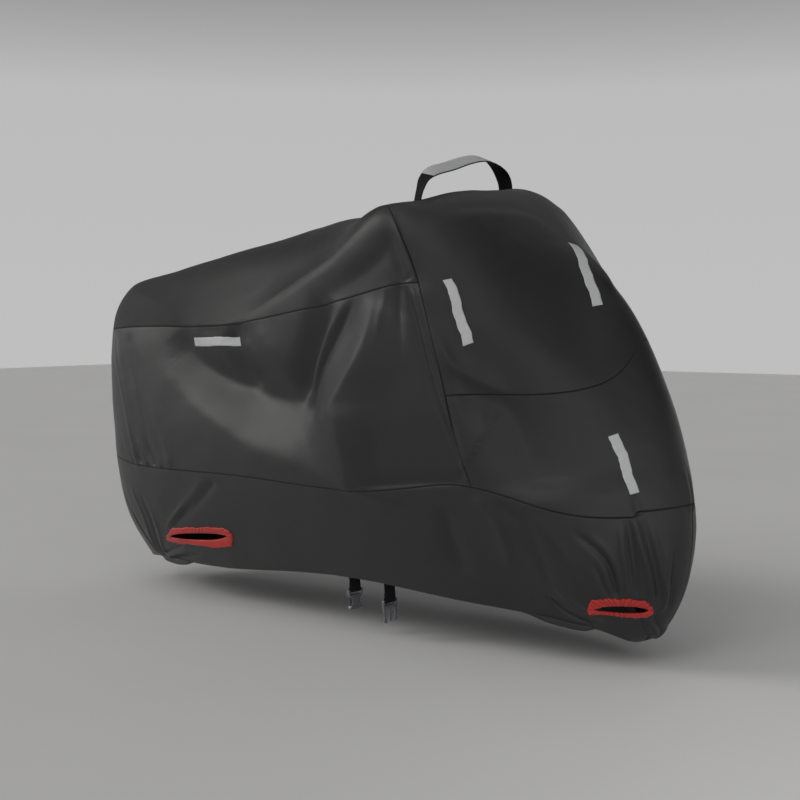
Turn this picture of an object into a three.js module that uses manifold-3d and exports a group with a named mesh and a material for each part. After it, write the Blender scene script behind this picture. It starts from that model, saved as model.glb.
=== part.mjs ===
// Fitted outdoor cover, hollow, hanging in the folds it takes in use.
// Millimetres. Seven sewn panels of coated cloth, four gathered bindings round the lock holes,
// six reflective strips, a carrying strap with its own reflective tape, two webbing tails and
// the two halves of a clip.
// Shapes are worked out over the floor (X forward, Y left, Z up, X = 0 at mid length) and the
// finished group is then moved so that its origin is the point under the crown that carries it.
import * as THREE from "three";
import { mergeVertices } from "three/addons/utils/BufferGeometryUtils.js";
import Module from "manifold-3d";

const wasm = await Module();
wasm.setup();

// ---------------------------------------------------------------- driving sizes
const CLOTH = 2; // sheet thickness
const TAPE = 1; // reflective tape thickness
const GAP = 0.3; // between neighbouring pieces
const LIFT = 1.0; // a strip over the facets of the panel that carries it
const STRIP = { wide: 26, along: 12, across: 2 };
const BINDING = { wide: 23, thick: 7, ease: 0.5, round: 3, straight: 8 }; // steps on a quarter round and on a side
const STRAP = { wide: 40, thick: 2.4, clear: 2.4, steps: 30 };
const STRAP_TAPE = { wide: 36, from: 0.16, to: 0.74 };
const WEB = { wide: 38, thick: 2 };
const CLIP = { thick: 13, bar: 4, wrap: 4.4 };
const HANG_AT = 8.5; // place on the spine, in sections, of the point that carries the cover
const LEAN = 0.19; // rise of the front per mm to the left, up to the shoulder
const LEAN_CROWN = -0.1; // change of that rise towards the crown
const TURN = 0.04; // the front is turned a little to the right

// Sections round one half of the cover, from the middle of the tail to the middle of the nose.
// Each level is [x, half width, z] of one control point of a smooth cubic surface, and run is
// the way round the cover at the level "front", in mm.
const LEVELS = ["hem", "low", "skirt", "front", "side", "shoulder", "top", "spine"];
const SECTIONS = [
  { at: "tail middle", run: 0, hem: [-929, 0, 93], low: [-986, 0, 269], skirt: [-1023, 0, 451], front: [-1039, 0, 653], side: [-1037, 0, 862], shoulder: [-1022, 0, 952], top: [-987, 0, 1018], spine: [-928, 0, 1022] },
  { at: "tail corner", run: 171, hem: [-887, 102, 86], low: [-962, 159, 244], skirt: [-993, 177, 441], front: [-1012, 180, 651], side: [-1016, 179, 864], shoulder: [-987, 143, 966], top: [-951, 88, 1019], spine: [-853, 0, 1022] },
  { at: "rear side", run: 375, hem: [-716, 191, 122], low: [-801, 259, 235], skirt: [-805, 258, 402], front: [-817, 257, 642], side: [-831, 233, 891], shoulder: [-814, 183, 983], top: [-799, 106, 1034], spine: [-755, 0, 1048] },
  { at: "rear quarter", run: 656, hem: [-434, 229, 115], low: [-490, 281, 253], skirt: [-511, 300, 409], front: [-525, 295, 642], side: [-534, 252, 879], shoulder: [-535, 197, 1013], top: [-528, 111, 1090], spine: [-517, 0, 1108] },
  { at: "mid side", run: 961, hem: [-143, 246, 152], low: [-169, 288, 276], skirt: [-195, 318, 417], front: [-221, 325, 641], side: [-239, 271, 878], shoulder: [-245, 211, 1035], top: [-243, 112, 1127], spine: [-258, 0, 1155] },
  { at: "front quarter", run: 1260, hem: [152, 257, 171], low: [136, 295, 272], skirt: [120, 338, 393], front: [88, 357, 651], side: [45, 331, 966], shoulder: [27, 276, 1103], top: [-10, 148, 1184], spine: [-27, 0, 1203] },
  { at: "behind the upright seam", run: 1509, hem: [438, 249, 147], low: [430, 287, 283], skirt: [397, 339, 427], front: [340, 381, 665], side: [274, 361, 1052], shoulder: [196, 353, 1179], top: [145, 189, 1157], spine: [163, 0, 1199] },
  { at: "upright seam", run: 1703, hem: [657, 196, 133], low: [637, 252, 286], skirt: [550, 340, 476], front: [506, 360, 736], side: [428, 345, 1071], shoulder: [309, 389, 1285], top: [252, 219, 1165], spine: [298, 0, 1207] },
  { at: "front corner", run: 1925, hem: [825, 148, 110], low: [818, 226, 187], skirt: [821, 273, 350], front: [730, 280, 765], side: [614, 279, 999], shoulder: [463, 294, 1205], top: [366, 192, 1266], spine: [342, 0, 1217] },
  { at: "beside the nose", run: 2138, hem: [876, 94, 76], low: [921, 117, 152], skirt: [1012, 122, 380], front: [899, 75, 745], side: [691, 124, 1013], shoulder: [522, 161, 1213], top: [425, 100, 1257], spine: [375, 0, 1217] },
  { at: "nose middle", run: 2276, hem: [905, 0, 45], low: [989, 0, 43], skirt: [1095, 0, 364], front: [888, 0, 959], side: [651, 0, 1126], shoulder: [524, 0, 1221], top: [446, 0, 1249], spine: [388, 0, 1228] },
];

// Folds that the cloth hangs in, drawn on the flattened side: each line runs through places
// [run, height] on the right half. over and under are how far the fold reaches on its two sides,
// tip how round its crest is, rise how far the cloth stands out at its start, middle and end
// (less than nothing: a hollow), and ends how softly it runs out. A facet has two even slopes,
// and a facet over has one even slope, on its upper side.
const FOLDS = [
  { at: "swag valley under the side seam", kind: "facet", line: [[630, 861], [677, 788], [770, 734], [964, 675], [1165, 648], [1284, 618]], over: [46, 140], under: [80, 150], tip: 18, rise: [-9, -54, -26], ends: [0.1, 0.1] },
  { at: "ledge along the side seam", kind: "round", line: [[671, 872], [804, 869], [988, 877]], over: [50, 50], under: [24, 30], tip: 4, rise: [4, 8, 4], ends: [0.15, 0.2] },
  { at: "edge of the hollow", kind: "facet", line: [[875, 854], [928, 761], [976, 687]], over: [80, 60], under: [60, 60], tip: 4, rise: [-14, -24, -10], ends: [0.1, 0.2] },
  { at: "dark wedge", kind: "facet", line: [[1353, 926], [1268, 801], [1171, 666]], over: [70, 80], under: [22, 24], tip: 4, rise: [-10, -34, -20], ends: [0.08, 0.14] },
  { at: "bright pleat", kind: "facet", line: [[1547, 938], [1509, 850], [1452, 771], [1348, 660], [1252, 578]], over: [44, 92], under: [120, 160], tip: 7, rise: [5, 31, 16], ends: [0.06, 0.16] },
  { at: "lip below the swag", kind: "round", line: [[773, 599], [982, 503], [1218, 470]], over: [60, 64], under: [80, 90], tip: 30, rise: [2, 6, 6], ends: [0.2, 0.2] },
  { at: "upright fold in the side", kind: "facet", line: [[1356, 669], [1358, 561], [1322, 419]], over: [150, 150], under: [140, 150], tip: 6, rise: [6, 22, 16], ends: [0.2, 0.08] },
  { at: "hollow behind the lower corner", kind: "round", line: [[1477, 649], [1459, 542], [1425, 434]], over: [60, 70], under: [60, 60], tip: 20, rise: [-2, -4, -4], ends: [0.2, 0.1] },
  { at: "streak on the tail panel", kind: "facet", line: [[1701, 1161], [1555, 1097], [1396, 1029], [1221, 968], [1053, 909], [912, 865]], over: [52, 66], under: [110, 130], tip: 9, rise: [2, 22, 10], ends: [0.03, 0.12] },
  { at: "trough below the streak", kind: "round", line: [[1667, 1091], [1559, 1025], [1314, 939]], over: [30, 36], under: [36, 44], tip: 14, rise: [-4, -7, -3], ends: [0.1, 0.2] },
  { at: "tail end fold", kind: "round", line: [[184, 1004], [486, 934], [630, 868]], over: [26, 26], under: [60, 60], tip: 10, rise: [3, 6, 5], ends: [0.1, 0.1] },
  { at: "rim of the front panel", kind: "round", line: [[1705, 977], [1709, 862], [1737, 780], [1797, 736], [1860, 710]], over: [34, 40], under: [28, 32], tip: 9, rise: [6, 12, 8], ends: [0.08, 0.1] },
  { at: "swell before the lower seam", kind: "round", line: [[2190, 936], [2186, 849], [2124, 765]], over: [50, 50], under: [50, 50], tip: 24, rise: [1, 2, 1], ends: [0.15, 0.15] },
  { at: "broad dent on the front panel", kind: "round", line: [[1929, 1062], [2021, 961], [2145, 937]], over: [80, 80], under: [80, 80], tip: 40, rise: [-0.6, -1.5, -0.6], ends: [0.2, 0.2] },
  { at: "front lower swag", kind: "facet", line: [[1731, 688], [1808, 684], [1856, 658], [1874, 573], [1890, 462]], over: [140, 230], under: [110, 125], tip: 16, rise: [-8, -44, -20], ends: [0.08, 0.1] },
  { at: "front lower dent", kind: "round", line: [[1927, 681], [2001, 649], [2096, 646]], over: [50, 50], under: [46, 46], tip: 16, rise: [-1, -2, -1], ends: [0.15, 0.15] },
  { at: "skirt dark diagonal", kind: "round", line: [[786, 398], [710, 336], [588, 254]], over: [16, 14], under: [16, 14], tip: 5, rise: [-4.2, -4.2, -2.8], ends: [0.06, 0.2] },
  { at: "skirt soft valley", kind: "round", line: [[1598, 390], [1578, 314], [1576, 226]], over: [24, 26], under: [24, 26], tip: 9, rise: [-4, -6, -5], ends: [0.1, 0.1] },
  { at: "skirt band one", kind: "round", line: [[1705, 438], [1739, 371], [1711, 258]], over: [26, 30], under: [26, 30], tip: 10, rise: [3.6, 5.4, 3.6], ends: [0.08, 0.1] },
  { at: "skirt band two", kind: "round", line: [[1768, 423], [1826, 350], [1831, 233]], over: [24, 28], under: [24, 28], tip: 10, rise: [-3.6, -5.4, -3.6], ends: [0.08, 0.1] },
  { at: "skirt band three", kind: "round", line: [[1851, 390], [1901, 317], [1932, 213]], over: [24, 26], under: [24, 26], tip: 10, rise: [2.7, 4.5, 3.6], ends: [0.1, 0.1] },
];

// Panels: the part of the surface each one covers, in sections (round) and levels (up).
const PANELS = [
  { name: "tail_panel", sides: [-1, 1], round: [0, 7], up: [4, 7], joined: ["tail", "spine"] },
  { name: "side_panel_right", sides: [-1], round: [0, 7], up: [2, 4], joined: [] },
  { name: "side_panel_left", sides: [1], round: [0, 7], up: [2, 4], joined: [] },
  { name: "front_panel_upper", sides: [-1, 1], round: [7, 10], up: [3, 7], joined: ["nose", "spine"] },
  { name: "front_panel_lower", sides: [-1, 1], round: [7, 10], up: [2, 3], joined: ["nose"] },
  { name: "skirt_right", sides: [-1], round: [0, 10], up: [0, 2], joined: [] },
  { name: "skirt_left", sides: [1], round: [0, 10], up: [0, 2], joined: [] },
];

// Lock holes: the ends of the middle line of the gathered binding, and its height.
const HOLES = [
  { at: "rear", from: [2.405, 0.585], to: [3.415, 0.693], high: 40 },
  { at: "front", from: [8.215, 0.685], to: [9.27, 1.03], high: 33 },
];

// Reflective strips: the two ends of the middle line. The left one of the upper front sits by
// the nose, so that it shows beside the right one; left gives its own ends and the half it is on.
const STRIPS = [
  { at: "rear", from: [3.1, 3.78], to: [3.8, 3.78], lift: 2 },
  { at: "front_upper", from: [7.46, 4.06], to: [7.44, 3.47], left: { from: [10.02, 4.035], to: [9.38, 3.475], side: -1, lift: 2.4 } },
  { at: "front_lower", from: [8.75, 2.62], to: [8.84, 2.18] },
];

// Carrying strap, foot to foot: middle of the strap and the direction of its width.
const STRAP_LINE = [
  { at: "near foot", x: 345, y: -255, z: 1202, wide: [0.85, -0.52, 0] },
  { at: "near leg", x: 345, y: -243, z: 1226, wide: [0.9, -0.43, -0.05] },
  { at: "near shoulder", x: 345, y: -222, z: 1258, wide: [0.93, -0.25, -0.28] },
  { at: "near rise", x: 345, y: -180, z: 1283, wide: [0.83, 0, -0.55] },
  { at: "near span", x: 345, y: -105, z: 1303, wide: [0.8, 0, -0.6] },
  { at: "middle", x: 345, y: -25, z: 1326, wide: [0.83, 0, -0.56] },
  { at: "far span", x: 345, y: 45, z: 1339, wide: [0.88, 0.05, -0.47] },
  { at: "far rise", x: 345, y: 105, z: 1336, wide: [0.92, 0.2, -0.33] },
  { at: "far shoulder", x: 345, y: 152, z: 1318, wide: [0.88, 0.42, -0.2] },
  { at: "far leg", x: 345, y: 182, z: 1292, wide: [0.83, 0.55, -0.05] },
  { at: "far foot", x: 345, y: 197, z: 1262, wide: [0.807, 0.59, 0] },
];

// Webbing tails: where they leave the hem, how far they hang below it, and the slope of the clip.
const TAILS = [
  { at: "socket", section: 4.94, x: 107, y: -225, hem: 160, bar: 120, slope: 0.06 },
  { at: "prong", section: 5.4, x: 230, y: -225, hem: 157, bar: 106, slope: 0.06 },
];
const TAIL_ACROSS = new THREE.Vector3(0.244, 0.97, 0).normalize();

const PAINT = {
  cloth: { color: 0x333435, roughness: 0.62, metalness: 0 },
  binding: { color: 0xd8281e, roughness: 0.5, metalness: 0 },
  tape: { color: 0xb4b5b6, roughness: 0.45, metalness: 0.1 },
  webbing: { color: 0x161617, roughness: 0.8, metalness: 0 },
  clip: { color: 0x2a2a2e, roughness: 0.35, metalness: 0 },
};

// ---------------------------------------------------------------- the smooth surface
const clamp = (t, a, b) => Math.min(b, Math.max(a, t));
const mix = (a, b, t) => a + (b - a) * t;
const smooth = (a, b, t) => {
  const s = clamp((t - a) / (b - a), 0, 1);
  return s * s * (3 - 2 * s);
};
const ENDS = { round: SECTIONS.length - 1, up: LEVELS.length - 1 };

function control(i, j) {
  if (i < 0) return mirrored(control(-i, j));
  if (i > ENDS.round) return mirrored(control(2 * ENDS.round - i, j));
  if (j > ENDS.up) return mirrored(control(i, 2 * ENDS.up - j));
  if (j < 0) {
    const a = SECTIONS[i][LEVELS[0]];
    const b = SECTIONS[i][LEVELS[1]];
    return a.map((c, k) => 2 * c - b[k]);
  }
  return SECTIONS[i][LEVELS[j]];
}
function mirrored([x, half, z]) {
  return [x, -half, z];
}
function weights(t) {
  const r = 1 - t;
  return [r * r * r, 3 * t * t * t - 6 * t * t + 4, 3 * t + 3 * t * t - 3 * t * t * t + 1, t * t * t].map((w) => w / 6);
}

// One half is worked out; past the middle lines the other half continues it.
function fold_over(u, v, side) {
  if (u < 0) [u, side] = [-u, -side];
  if (u > ENDS.round) [u, side] = [2 * ENDS.round - u, -side];
  if (v > ENDS.up) [v, side] = [2 * ENDS.up - v, -side];
  return [u, v, side];
}
function base(u0, v0, side0) {
  const [u, v, side] = fold_over(u0, v0, side0);
  const i = clamp(Math.floor(u), 0, ENDS.round - 1);
  const j = clamp(Math.floor(v), 0, ENDS.up - 1);
  const wu = weights(u - i);
  const wv = weights(v - j);
  let x = 0, half = 0, z = 0;
  for (let a = 0; a < 4; a++)
    for (let b = 0; b < 4; b++) {
      const c = control(i - 1 + a, j - 1 + b);
      const w = wu[a] * wv[b];
      x += w * c[0];
      half += w * c[1];
      z += w * c[2];
    }
  const y = side * half;
  const lean = LEAN * smooth(400, 950, z) + LEAN_CROWN * smooth(850, 1350, z);
  const front = smooth(-250, 450, x);
  const ahead = 0.9 * smooth(0, 1, (x - 350) / 900);
  return new THREE.Vector3(x + TURN * front * y * smooth(150, 600, z), y - TURN * ahead * 550, z + lean * front * y);
}

// The way round at a place between two sections.
function run(u) {
  const i = clamp(Math.floor(u), 0, ENDS.round - 1);
  const t = u - i;
  const at = (k) => (k < 0 ? -SECTIONS[-k].run : k > ENDS.round ? 2 * SECTIONS[ENDS.round].run - SECTIONS[2 * ENDS.round - k].run : SECTIONS[k].run);
  const [p, q, r, s] = [at(i - 1), at(i), at(i + 1), at(i + 2)];
  return q + 0.5 * t * (r - p + t * (2 * p - 5 * q + 4 * r - s + t * (3 * (q - r) + s - p)));
}
// A smooth line through points.
function through(points, n) {
  const mirror = (p, q) => p.map((c, k) => 2 * c - q[k]);
  const all = [mirror(points[0], points[1]), ...points, mirror(points.at(-1), points.at(-2))];
  const out = [];
  for (let k = 0; k + 3 < all.length; k++) {
    const [a, b, c, d] = all.slice(k, k + 4);
    for (let m = 0; m < n; m++) {
      const t = m / n;
      out.push(b.map((_, e) => b[e] + 0.5 * t * (c[e] - a[e] + t * (2 * a[e] - 5 * b[e] + 4 * c[e] - d[e] + t * (3 * (b[e] - c[e]) + d[e] - a[e])))));
    }
  }
  return [...out, points.at(-1)];
}
const DRAWN = FOLDS.map((f) => ({ ...f, drawn: through(f.line, 7) }));

// How far the folds lift the cloth at a place (s, z) of the flattened side.
function fold_height(s, z) {
  let out = 0;
  for (const f of DRAWN) {
    const L = f.drawn;
    const reach = 2.6 * Math.max(...f.over, ...f.under) + f.tip;
    if (s < Math.min(...L.map((p) => p[0])) - reach || s > Math.max(...L.map((p) => p[0])) + reach) continue;
    if (z < Math.min(...L.map((p) => p[1])) - reach || z > Math.max(...L.map((p) => p[1])) + reach) continue;
    const length = L.slice(1).map((p, k) => Math.hypot(p[0] - L[k][0], p[1] - L[k][1]));
    const total = length.reduce((a, b) => a + b, 0);
    const flip = L.at(-1)[0] >= L[0][0] ? 1 : -1;
    let best = Infinity, off = 0, along = 0, start = 0;
    for (let k = 0; k < length.length; k++) {
      const seg = [L[k + 1][0] - L[k][0], L[k + 1][1] - L[k][1]];
      const w = [s - L[k][0], z - L[k][1]];
      const t = (w[0] * seg[0] + w[1] * seg[1]) / length[k] ** 2;
      const tc = clamp(t, 0, 1);
      const d = Math.hypot(w[0] - tc * seg[0], w[1] - tc * seg[1]);
      if (d < best) {
        const cross = (seg[0] * w[1] - seg[1] * w[0]) * flip;
        const first = k === 0, last = k === length.length - 1;
        const ta = clamp(t, first ? -Infinity : 0, last ? Infinity : 1);
        const past = (first && t < 0) || (last && t > 1);
        best = d;
        off = past ? cross / length[k] : Math.sign(cross) * d;
        along = (start + ta * length[k]) / total;
      }
      start += length[k];
    }
    const t = clamp(along, 0, 1);
    const wide = off > 0 ? mix(f.over[0], f.over[1], t) : mix(f.under[0], f.under[1], t);
    const near = Math.sqrt(off * off + f.tip * f.tip) - f.tip;
    let body = Math.exp(-near / (wide * 0.62)) * Math.exp(-((Math.abs(off) / (wide * 1.9)) ** 3));
    if (f.kind === "facet" || (f.kind === "facet over" && off > 0)) {
      const r = 1 - near / wide;
      body = ((r + Math.sqrt(r * r + 0.08)) / (1 + Math.sqrt(1.08))) * (1 - smooth(1.3, 2.2, near / wide));
    }
    const rise = f.rise[0] * (1 - t) * (1 - 2 * t) + f.rise[1] * 4 * t * (1 - t) + f.rise[2] * t * (2 * t - 1);
    out += rise * body * smooth(-f.ends[0], f.ends[0], along) * (1 - smooth(1 - f.ends[1], 1 + f.ends[1], along));
  }
  return out;
}
// The left half has the right half's folds in places of its own, because cloth isn't the same
// twice; the two meet over the middle lines.
function folds(u0, v0, side0) {
  const [u, v, side] = fold_over(u0, v0, side0);
  const s = run(u);
  const z = base(u, v, -1).z;
  const right = fold_height(s, z);
  if (side < 0) return right;
  const left = 0.82 * fold_height(s + 26 * Math.sin(z / 115 + 1) + 14 * Math.sin(s / 170), z + 16 * Math.sin(s / 140 + 0.6));
  const w = smooth(0, 1, Math.min(s / 120, (SECTIONS[ENDS.round].run - s) / 120, Math.max(0, (ENDS.up - v) / 0.8)));
  return mix(right, left, w);
}
const STEP = 0.02;
function normal_of(surface, u, v, side) {
  const du = surface(u + STEP, v, side).sub(surface(u - STEP, v, side));
  const dv = surface(u, v + STEP, side).sub(surface(u, v - STEP, side));
  const n = du.cross(dv).multiplyScalar(-side);
  if (n.length() < 1e-3 * STEP * STEP * 1e6) {
    // where two middle lines meet: the mean of the directions close by
    const iu = u > ENDS.round / 2 ? u - 0.15 : u + 0.15;
    return normal_of(surface, iu, v - 0.15, -1).add(normal_of(surface, iu, v - 0.15, 1)).normalize();
  }
  return n.normalize();
}
const memo = new Map();
function skin(u, v, side) {
  const key = `${u.toFixed(5)},${v.toFixed(5)},${side}`;
  if (!memo.has(key)) memo.set(key, base(u, v, side).addScaledVector(normal_of(base, u, v, side), folds(u, v, side)));
  return memo.get(key).clone();
}
const facing = (u, v, side) => normal_of(skin, u, v, side);

// ---------------------------------------------------------------- meshes
function closed(points, triangles) {
  let volume = 0;
  for (const [a, b, c] of triangles) volume += points[a].dot(points[b].clone().cross(points[c]));
  const order = volume < 0 ? triangles.map(([a, b, c]) => [a, c, b]) : triangles;
  const g = new THREE.BufferGeometry();
  g.setAttribute("position", new THREE.Float32BufferAttribute(points.flatMap((p) => [p.x, p.y, p.z]), 3));
  g.setIndex(order.flat());
  return g;
}
function solid(geometry) {
  const bare = new THREE.BufferGeometry().setAttribute("position", geometry.getAttribute("position"));
  if (geometry.index) bare.setIndex(geometry.index);
  const merged = mergeVertices(bare, 1e-4);
  return new wasm.Manifold(
    new wasm.Mesh({ numProp: 3, vertProperties: new Float32Array(merged.attributes.position.array), triVerts: new Uint32Array(merged.index.array) }),
  );
}
function geometry_of(made) {
  const m = made.getMesh();
  const g = new THREE.BufferGeometry();
  const xyz = new Float32Array((m.vertProperties.length / m.numProp) * 3);
  for (let k = 0; k < xyz.length / 3; k++) for (let c = 0; c < 3; c++) xyz[3 * k + c] = m.vertProperties[k * m.numProp + c];
  g.setAttribute("position", new THREE.BufferAttribute(xyz, 3));
  g.setIndex(Array.from(m.triVerts));
  return g;
}
const cover = new THREE.Group();
function piece(name, geometry, paint) {
  const g = geometry.index ? geometry.toNonIndexed() : geometry;
  g.computeVertexNormals();
  const mesh = new THREE.Mesh(g, new THREE.MeshStandardMaterial(PAINT[paint]));
  mesh.name = name;
  cover.add(mesh);
  return mesh;
}

// ---------------------------------------------------------------- grid lines
const steps = (a, b, n) => Array.from({ length: n + 1 }, (_, k) => a + ((b - a) * k) / n);
const join = (...parts) => parts.flatMap((p, k) => (k ? p.slice(1) : p)).map((t) => Math.round(t * 1e6) / 1e6);
const ROUND = join(steps(0, 7, 32), steps(7, 10, 10));
const UP = join(steps(0, 2, 4), steps(2, 4, 8), steps(4, 7, 7));
const forward = (u) => u >= 7; // the diagonals lean so that the ends of the middle lines stay whole

function panel({ sides, round, up, joined }) {
  const I = ROUND.filter((u) => u >= round[0] && u <= round[1]);
  const J = UP.filter((v) => v >= up[0] && v <= up[1]);
  const outer = [], inner = [], ids = new Map(), faces = [];
  const at = (side, i, j) => {
    const shared = (i === 0 && joined.includes("tail")) || (i === I.length - 1 && joined.includes("nose")) || (j === J.length - 1 && joined.includes("spine"));
    const key = `${shared ? 0 : side},${i},${j}`;
    if (ids.has(key)) return ids.get(key);
    const [u, v] = [I[i], J[j]];
    const p = skin(u, v, side);
    const n = facing(u, v, side);
    const shift = new THREE.Vector3();
    const along = skin(u + STEP, v, side).sub(skin(u - STEP, v, side)).normalize();
    const upward = skin(u, v + STEP, side).sub(skin(u, v - STEP, side)).normalize();
    if (i === 0 && !joined.includes("tail")) shift.add(along);
    if (i === I.length - 1 && !joined.includes("nose")) shift.sub(along);
    if (j === 0 && v > 0) shift.add(upward);
    if (j === J.length - 1 && !joined.includes("spine")) shift.sub(upward);
    p.addScaledVector(shift, GAP * 0.55);
    ids.set(key, outer.length);
    outer.push(p);
    inner.push(p.clone().addScaledVector(n, -CLOTH));
    return outer.length - 1;
  };
  for (const side of sides)
    for (let i = 0; i + 1 < I.length; i++)
      for (let j = 0; j + 1 < J.length; j++) {
        const [a, b, c, d] = [at(side, i, j), at(side, i + 1, j), at(side, i + 1, j + 1), at(side, i, j + 1)];
        const two = forward(I[i]) ? [[a, b, c], [a, c, d]] : [[a, b, d], [b, c, d]];
        for (const [p, q, r] of two) faces.push(side < 0 ? [p, q, r] : [p, r, q]);
      }
  return shell(outer, inner, faces);
}
const rank = (p) => p.x + 0.37 * p.y + 0.71 * p.z;
// A sheet: its outer faces, its inner faces, and a wall along every free edge.
function shell(outer, inner, faces) {
  const n = outer.length;
  const all = [...faces, ...faces.map(([a, b, c]) => [a + n, c + n, b + n])];
  const edges = new Set(faces.flatMap(([a, b, c]) => [`${a},${b}`, `${b},${c}`, `${c},${a}`]));
  for (const e of edges) {
    const [a, b] = e.split(",").map(Number);
    if (edges.has(`${b},${a}`)) continue;
    // the diagonal of a wall runs the same way on both sides of a seam, however it is twisted
    if (rank(outer[a]) < rank(outer[b])) all.push([b, a, b + n], [a, a + n, b + n]);
    else all.push([b, a, a + n], [b, a + n, b + n]);
  }
  return closed([...outer, ...inner], all);
}
// A place on the facets of a panel rather than on the smooth surface.
function facet(u0, v0, side0) {
  const [u, v, side] = fold_over(u0, v0, side0);
  const i = clamp(ROUND.findIndex((t) => t > u + 1e-9) - 1, 0, ROUND.length - 2);
  const j = clamp(UP.findIndex((t) => t > v + 1e-9) - 1, 0, UP.length - 2);
  const a = (u - ROUND[i]) / (ROUND[i + 1] - ROUND[i]);
  const b = (v - UP[j]) / (UP[j + 1] - UP[j]);
  const corner = (p, q) => skin(ROUND[i + p], UP[j + q], side);
  const w = forward(ROUND[i])
    ? a > b ? [[0, 0, 1 - a], [1, 0, a - b], [1, 1, b]] : [[0, 0, 1 - b], [1, 1, a], [0, 1, b - a]]
    : a + b < 1 ? [[0, 0, 1 - a - b], [1, 0, a], [0, 1, b]] : [[1, 1, a + b - 1], [1, 0, 1 - b], [0, 1, 1 - a]];
  return w.reduce((sum, [p, q, k]) => sum.addScaledVector(corner(p, q), k), new THREE.Vector3());
}

// Places measured in mm along a line drawn on the surface and square to it.
function beside(from, to, side) {
  const mid = [(from[0] + to[0]) / 2, (from[1] + to[1]) / 2];
  const du = skin(mid[0] + STEP, mid[1], side).sub(skin(mid[0] - STEP, mid[1], side)).divideScalar(2 * STEP);
  const dv = skin(mid[0], mid[1] + STEP, side).sub(skin(mid[0], mid[1] - STEP, side)).divideScalar(2 * STEP);
  const line = [to[0] - from[0], to[1] - from[1]];
  const e1 = du.clone().multiplyScalar(line[0]).addScaledVector(dv, line[1]);
  const long = e1.length();
  e1.normalize();
  const e2 = facing(mid[0], mid[1], side).cross(e1).normalize();
  if (e2.dot(dv) < 0) e2.negate();
  const det = du.dot(e1) * dv.dot(e2) - dv.dot(e1) * du.dot(e2);
  const per = [-dv.dot(e1) / det, du.dot(e1) / det]; // one mm square to the line
  return { long, place: (a, b) => [mid[0] + (line[0] * a) / long + per[0] * b, mid[1] + (line[1] * a) / long + per[1] * b] };
}

// ---------------------------------------------------------------- panels with their lock holes
const parts = new Map(PANELS.map((p) => [p.name, panel(p)]));

function binding(hole, side) {
  const { long, place } = beside(hole.from, hole.to, side);
  const r = hole.high / 2;
  const half = long / 2 - r; // the ends of the middle line are the tips of the round
  const line = [];
  const q = BINDING.round, s = BINDING.straight;
  for (let k = 0; k < q; k++) line.push([half + r * Math.cos((k / q) * Math.PI / 2), r * Math.sin((k / q) * Math.PI / 2)]);
  for (let k = 0; k < s; k++) line.push([mix(half, -half, k / s), r]);
  for (let k = 0; k < 2 * q; k++) line.push([-half - r * Math.sin((k / q) * Math.PI / 2), r * Math.cos((k / q) * Math.PI / 2)]);
  for (let k = 0; k < s; k++) line.push([mix(-half, half, k / s), -r]);
  for (let k = 0; k < q; k++) line.push([half + r * Math.sin((k / q) * Math.PI / 2), -r * Math.cos((k / q) * Math.PI / 2)]);
  const n = line.length;
  const frames = line.map(([a, b]) => {
    const [u, v] = place(a, b);
    const up = facing(u, v, side);
    return { p: skin(u, v, side).addScaledVector(up, -CLOTH / 2), up };
  });
  frames.forEach((f, k) => {
    const t = frames[(k + 1) % n].p.clone().sub(frames[(k + n - 1) % n].p).normalize();
    f.out = t.clone().cross(f.up).normalize();
    f.up.copy(f.out.clone().cross(t)).normalize();
  });
  const centre = frames.reduce((c, f) => c.addScaledVector(f.p, 1 / n), new THREE.Vector3());
  if (frames[0].out.dot(frames[0].p.clone().sub(centre)) < 0) frames.forEach((f) => f.out.negate());
  frames.forEach((f) => (f.up.dot(facing(...place(0, 0), side)) < 0 ? f.up.negate() : 0));
  // flat eight-sided section
  const [w, h] = [BINDING.wide / 2, BINDING.thick / 2];
  const section = [[w, -h * 0.4], [w, h * 0.4], [w * 0.62, h], [-w * 0.62, h], [-w, h * 0.4], [-w, -h * 0.4], [-w * 0.62, -h], [w * 0.62, -h]];
  const points = frames.flatMap((f) => section.map(([a, b]) => f.p.clone().addScaledVector(f.out, a).addScaledVector(f.up, b)));
  const faces = [];
  const m = section.length;
  for (let k = 0; k < n; k++)
    for (let e = 0; e < m; e++) {
      const [a, b] = [k * m + e, k * m + ((e + 1) % m)];
      const [c, d] = [((k + 1) % n) * m + ((e + 1) % m), ((k + 1) % n) * m + e];
      faces.push([a, b, c], [a, c, d]);
    }
  // the hole in the cloth, a little larger all round, capped across its short way
  const edge = (d) => frames.map((f) => f.p.clone().addScaledVector(f.out, w + GAP + BINDING.ease).addScaledVector(f.up, d));
  const cut = [...edge(9), ...edge(-9)];
  const walls = [];
  for (let k = 0; k < n; k++) {
    const l = (k + 1) % n;
    walls.push([k, l, l + n], [k, l + n, k + n]);
  }
  for (const [o, flip] of [[0, false], [n, true]]) {
    const cap = [[0, n - 1, 1]];
    for (let k = 1; k < n / 2 - 1; k++) cap.push([k, n - k, k + 1], [n - k, n - k - 1, k + 1]);
    cap.push([n / 2 - 1, n / 2 + 1, n / 2]);
    for (const [a, b, c] of cap) walls.push(flip ? [a + o, c + o, b + o] : [a + o, b + o, c + o]);
  }
  return { ring: closed(points, faces), cutter: closed(cut, walls) };
}
for (const [side, hand] of [[-1, "right"], [1, "left"]]) {
  let skirt = solid(parts.get(`skirt_${hand}`));
  for (const hole of HOLES) {
    const { ring, cutter } = binding(hole, side);
    skirt = skirt.subtract(solid(cutter));
    piece(`lock_hole_binding_${hole.at}_${hand}`, ring, "binding");
  }
  parts.set(`skirt_${hand}`, geometry_of(skirt));
}
for (const [name, geometry] of parts) piece(name, geometry, "cloth");

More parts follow.
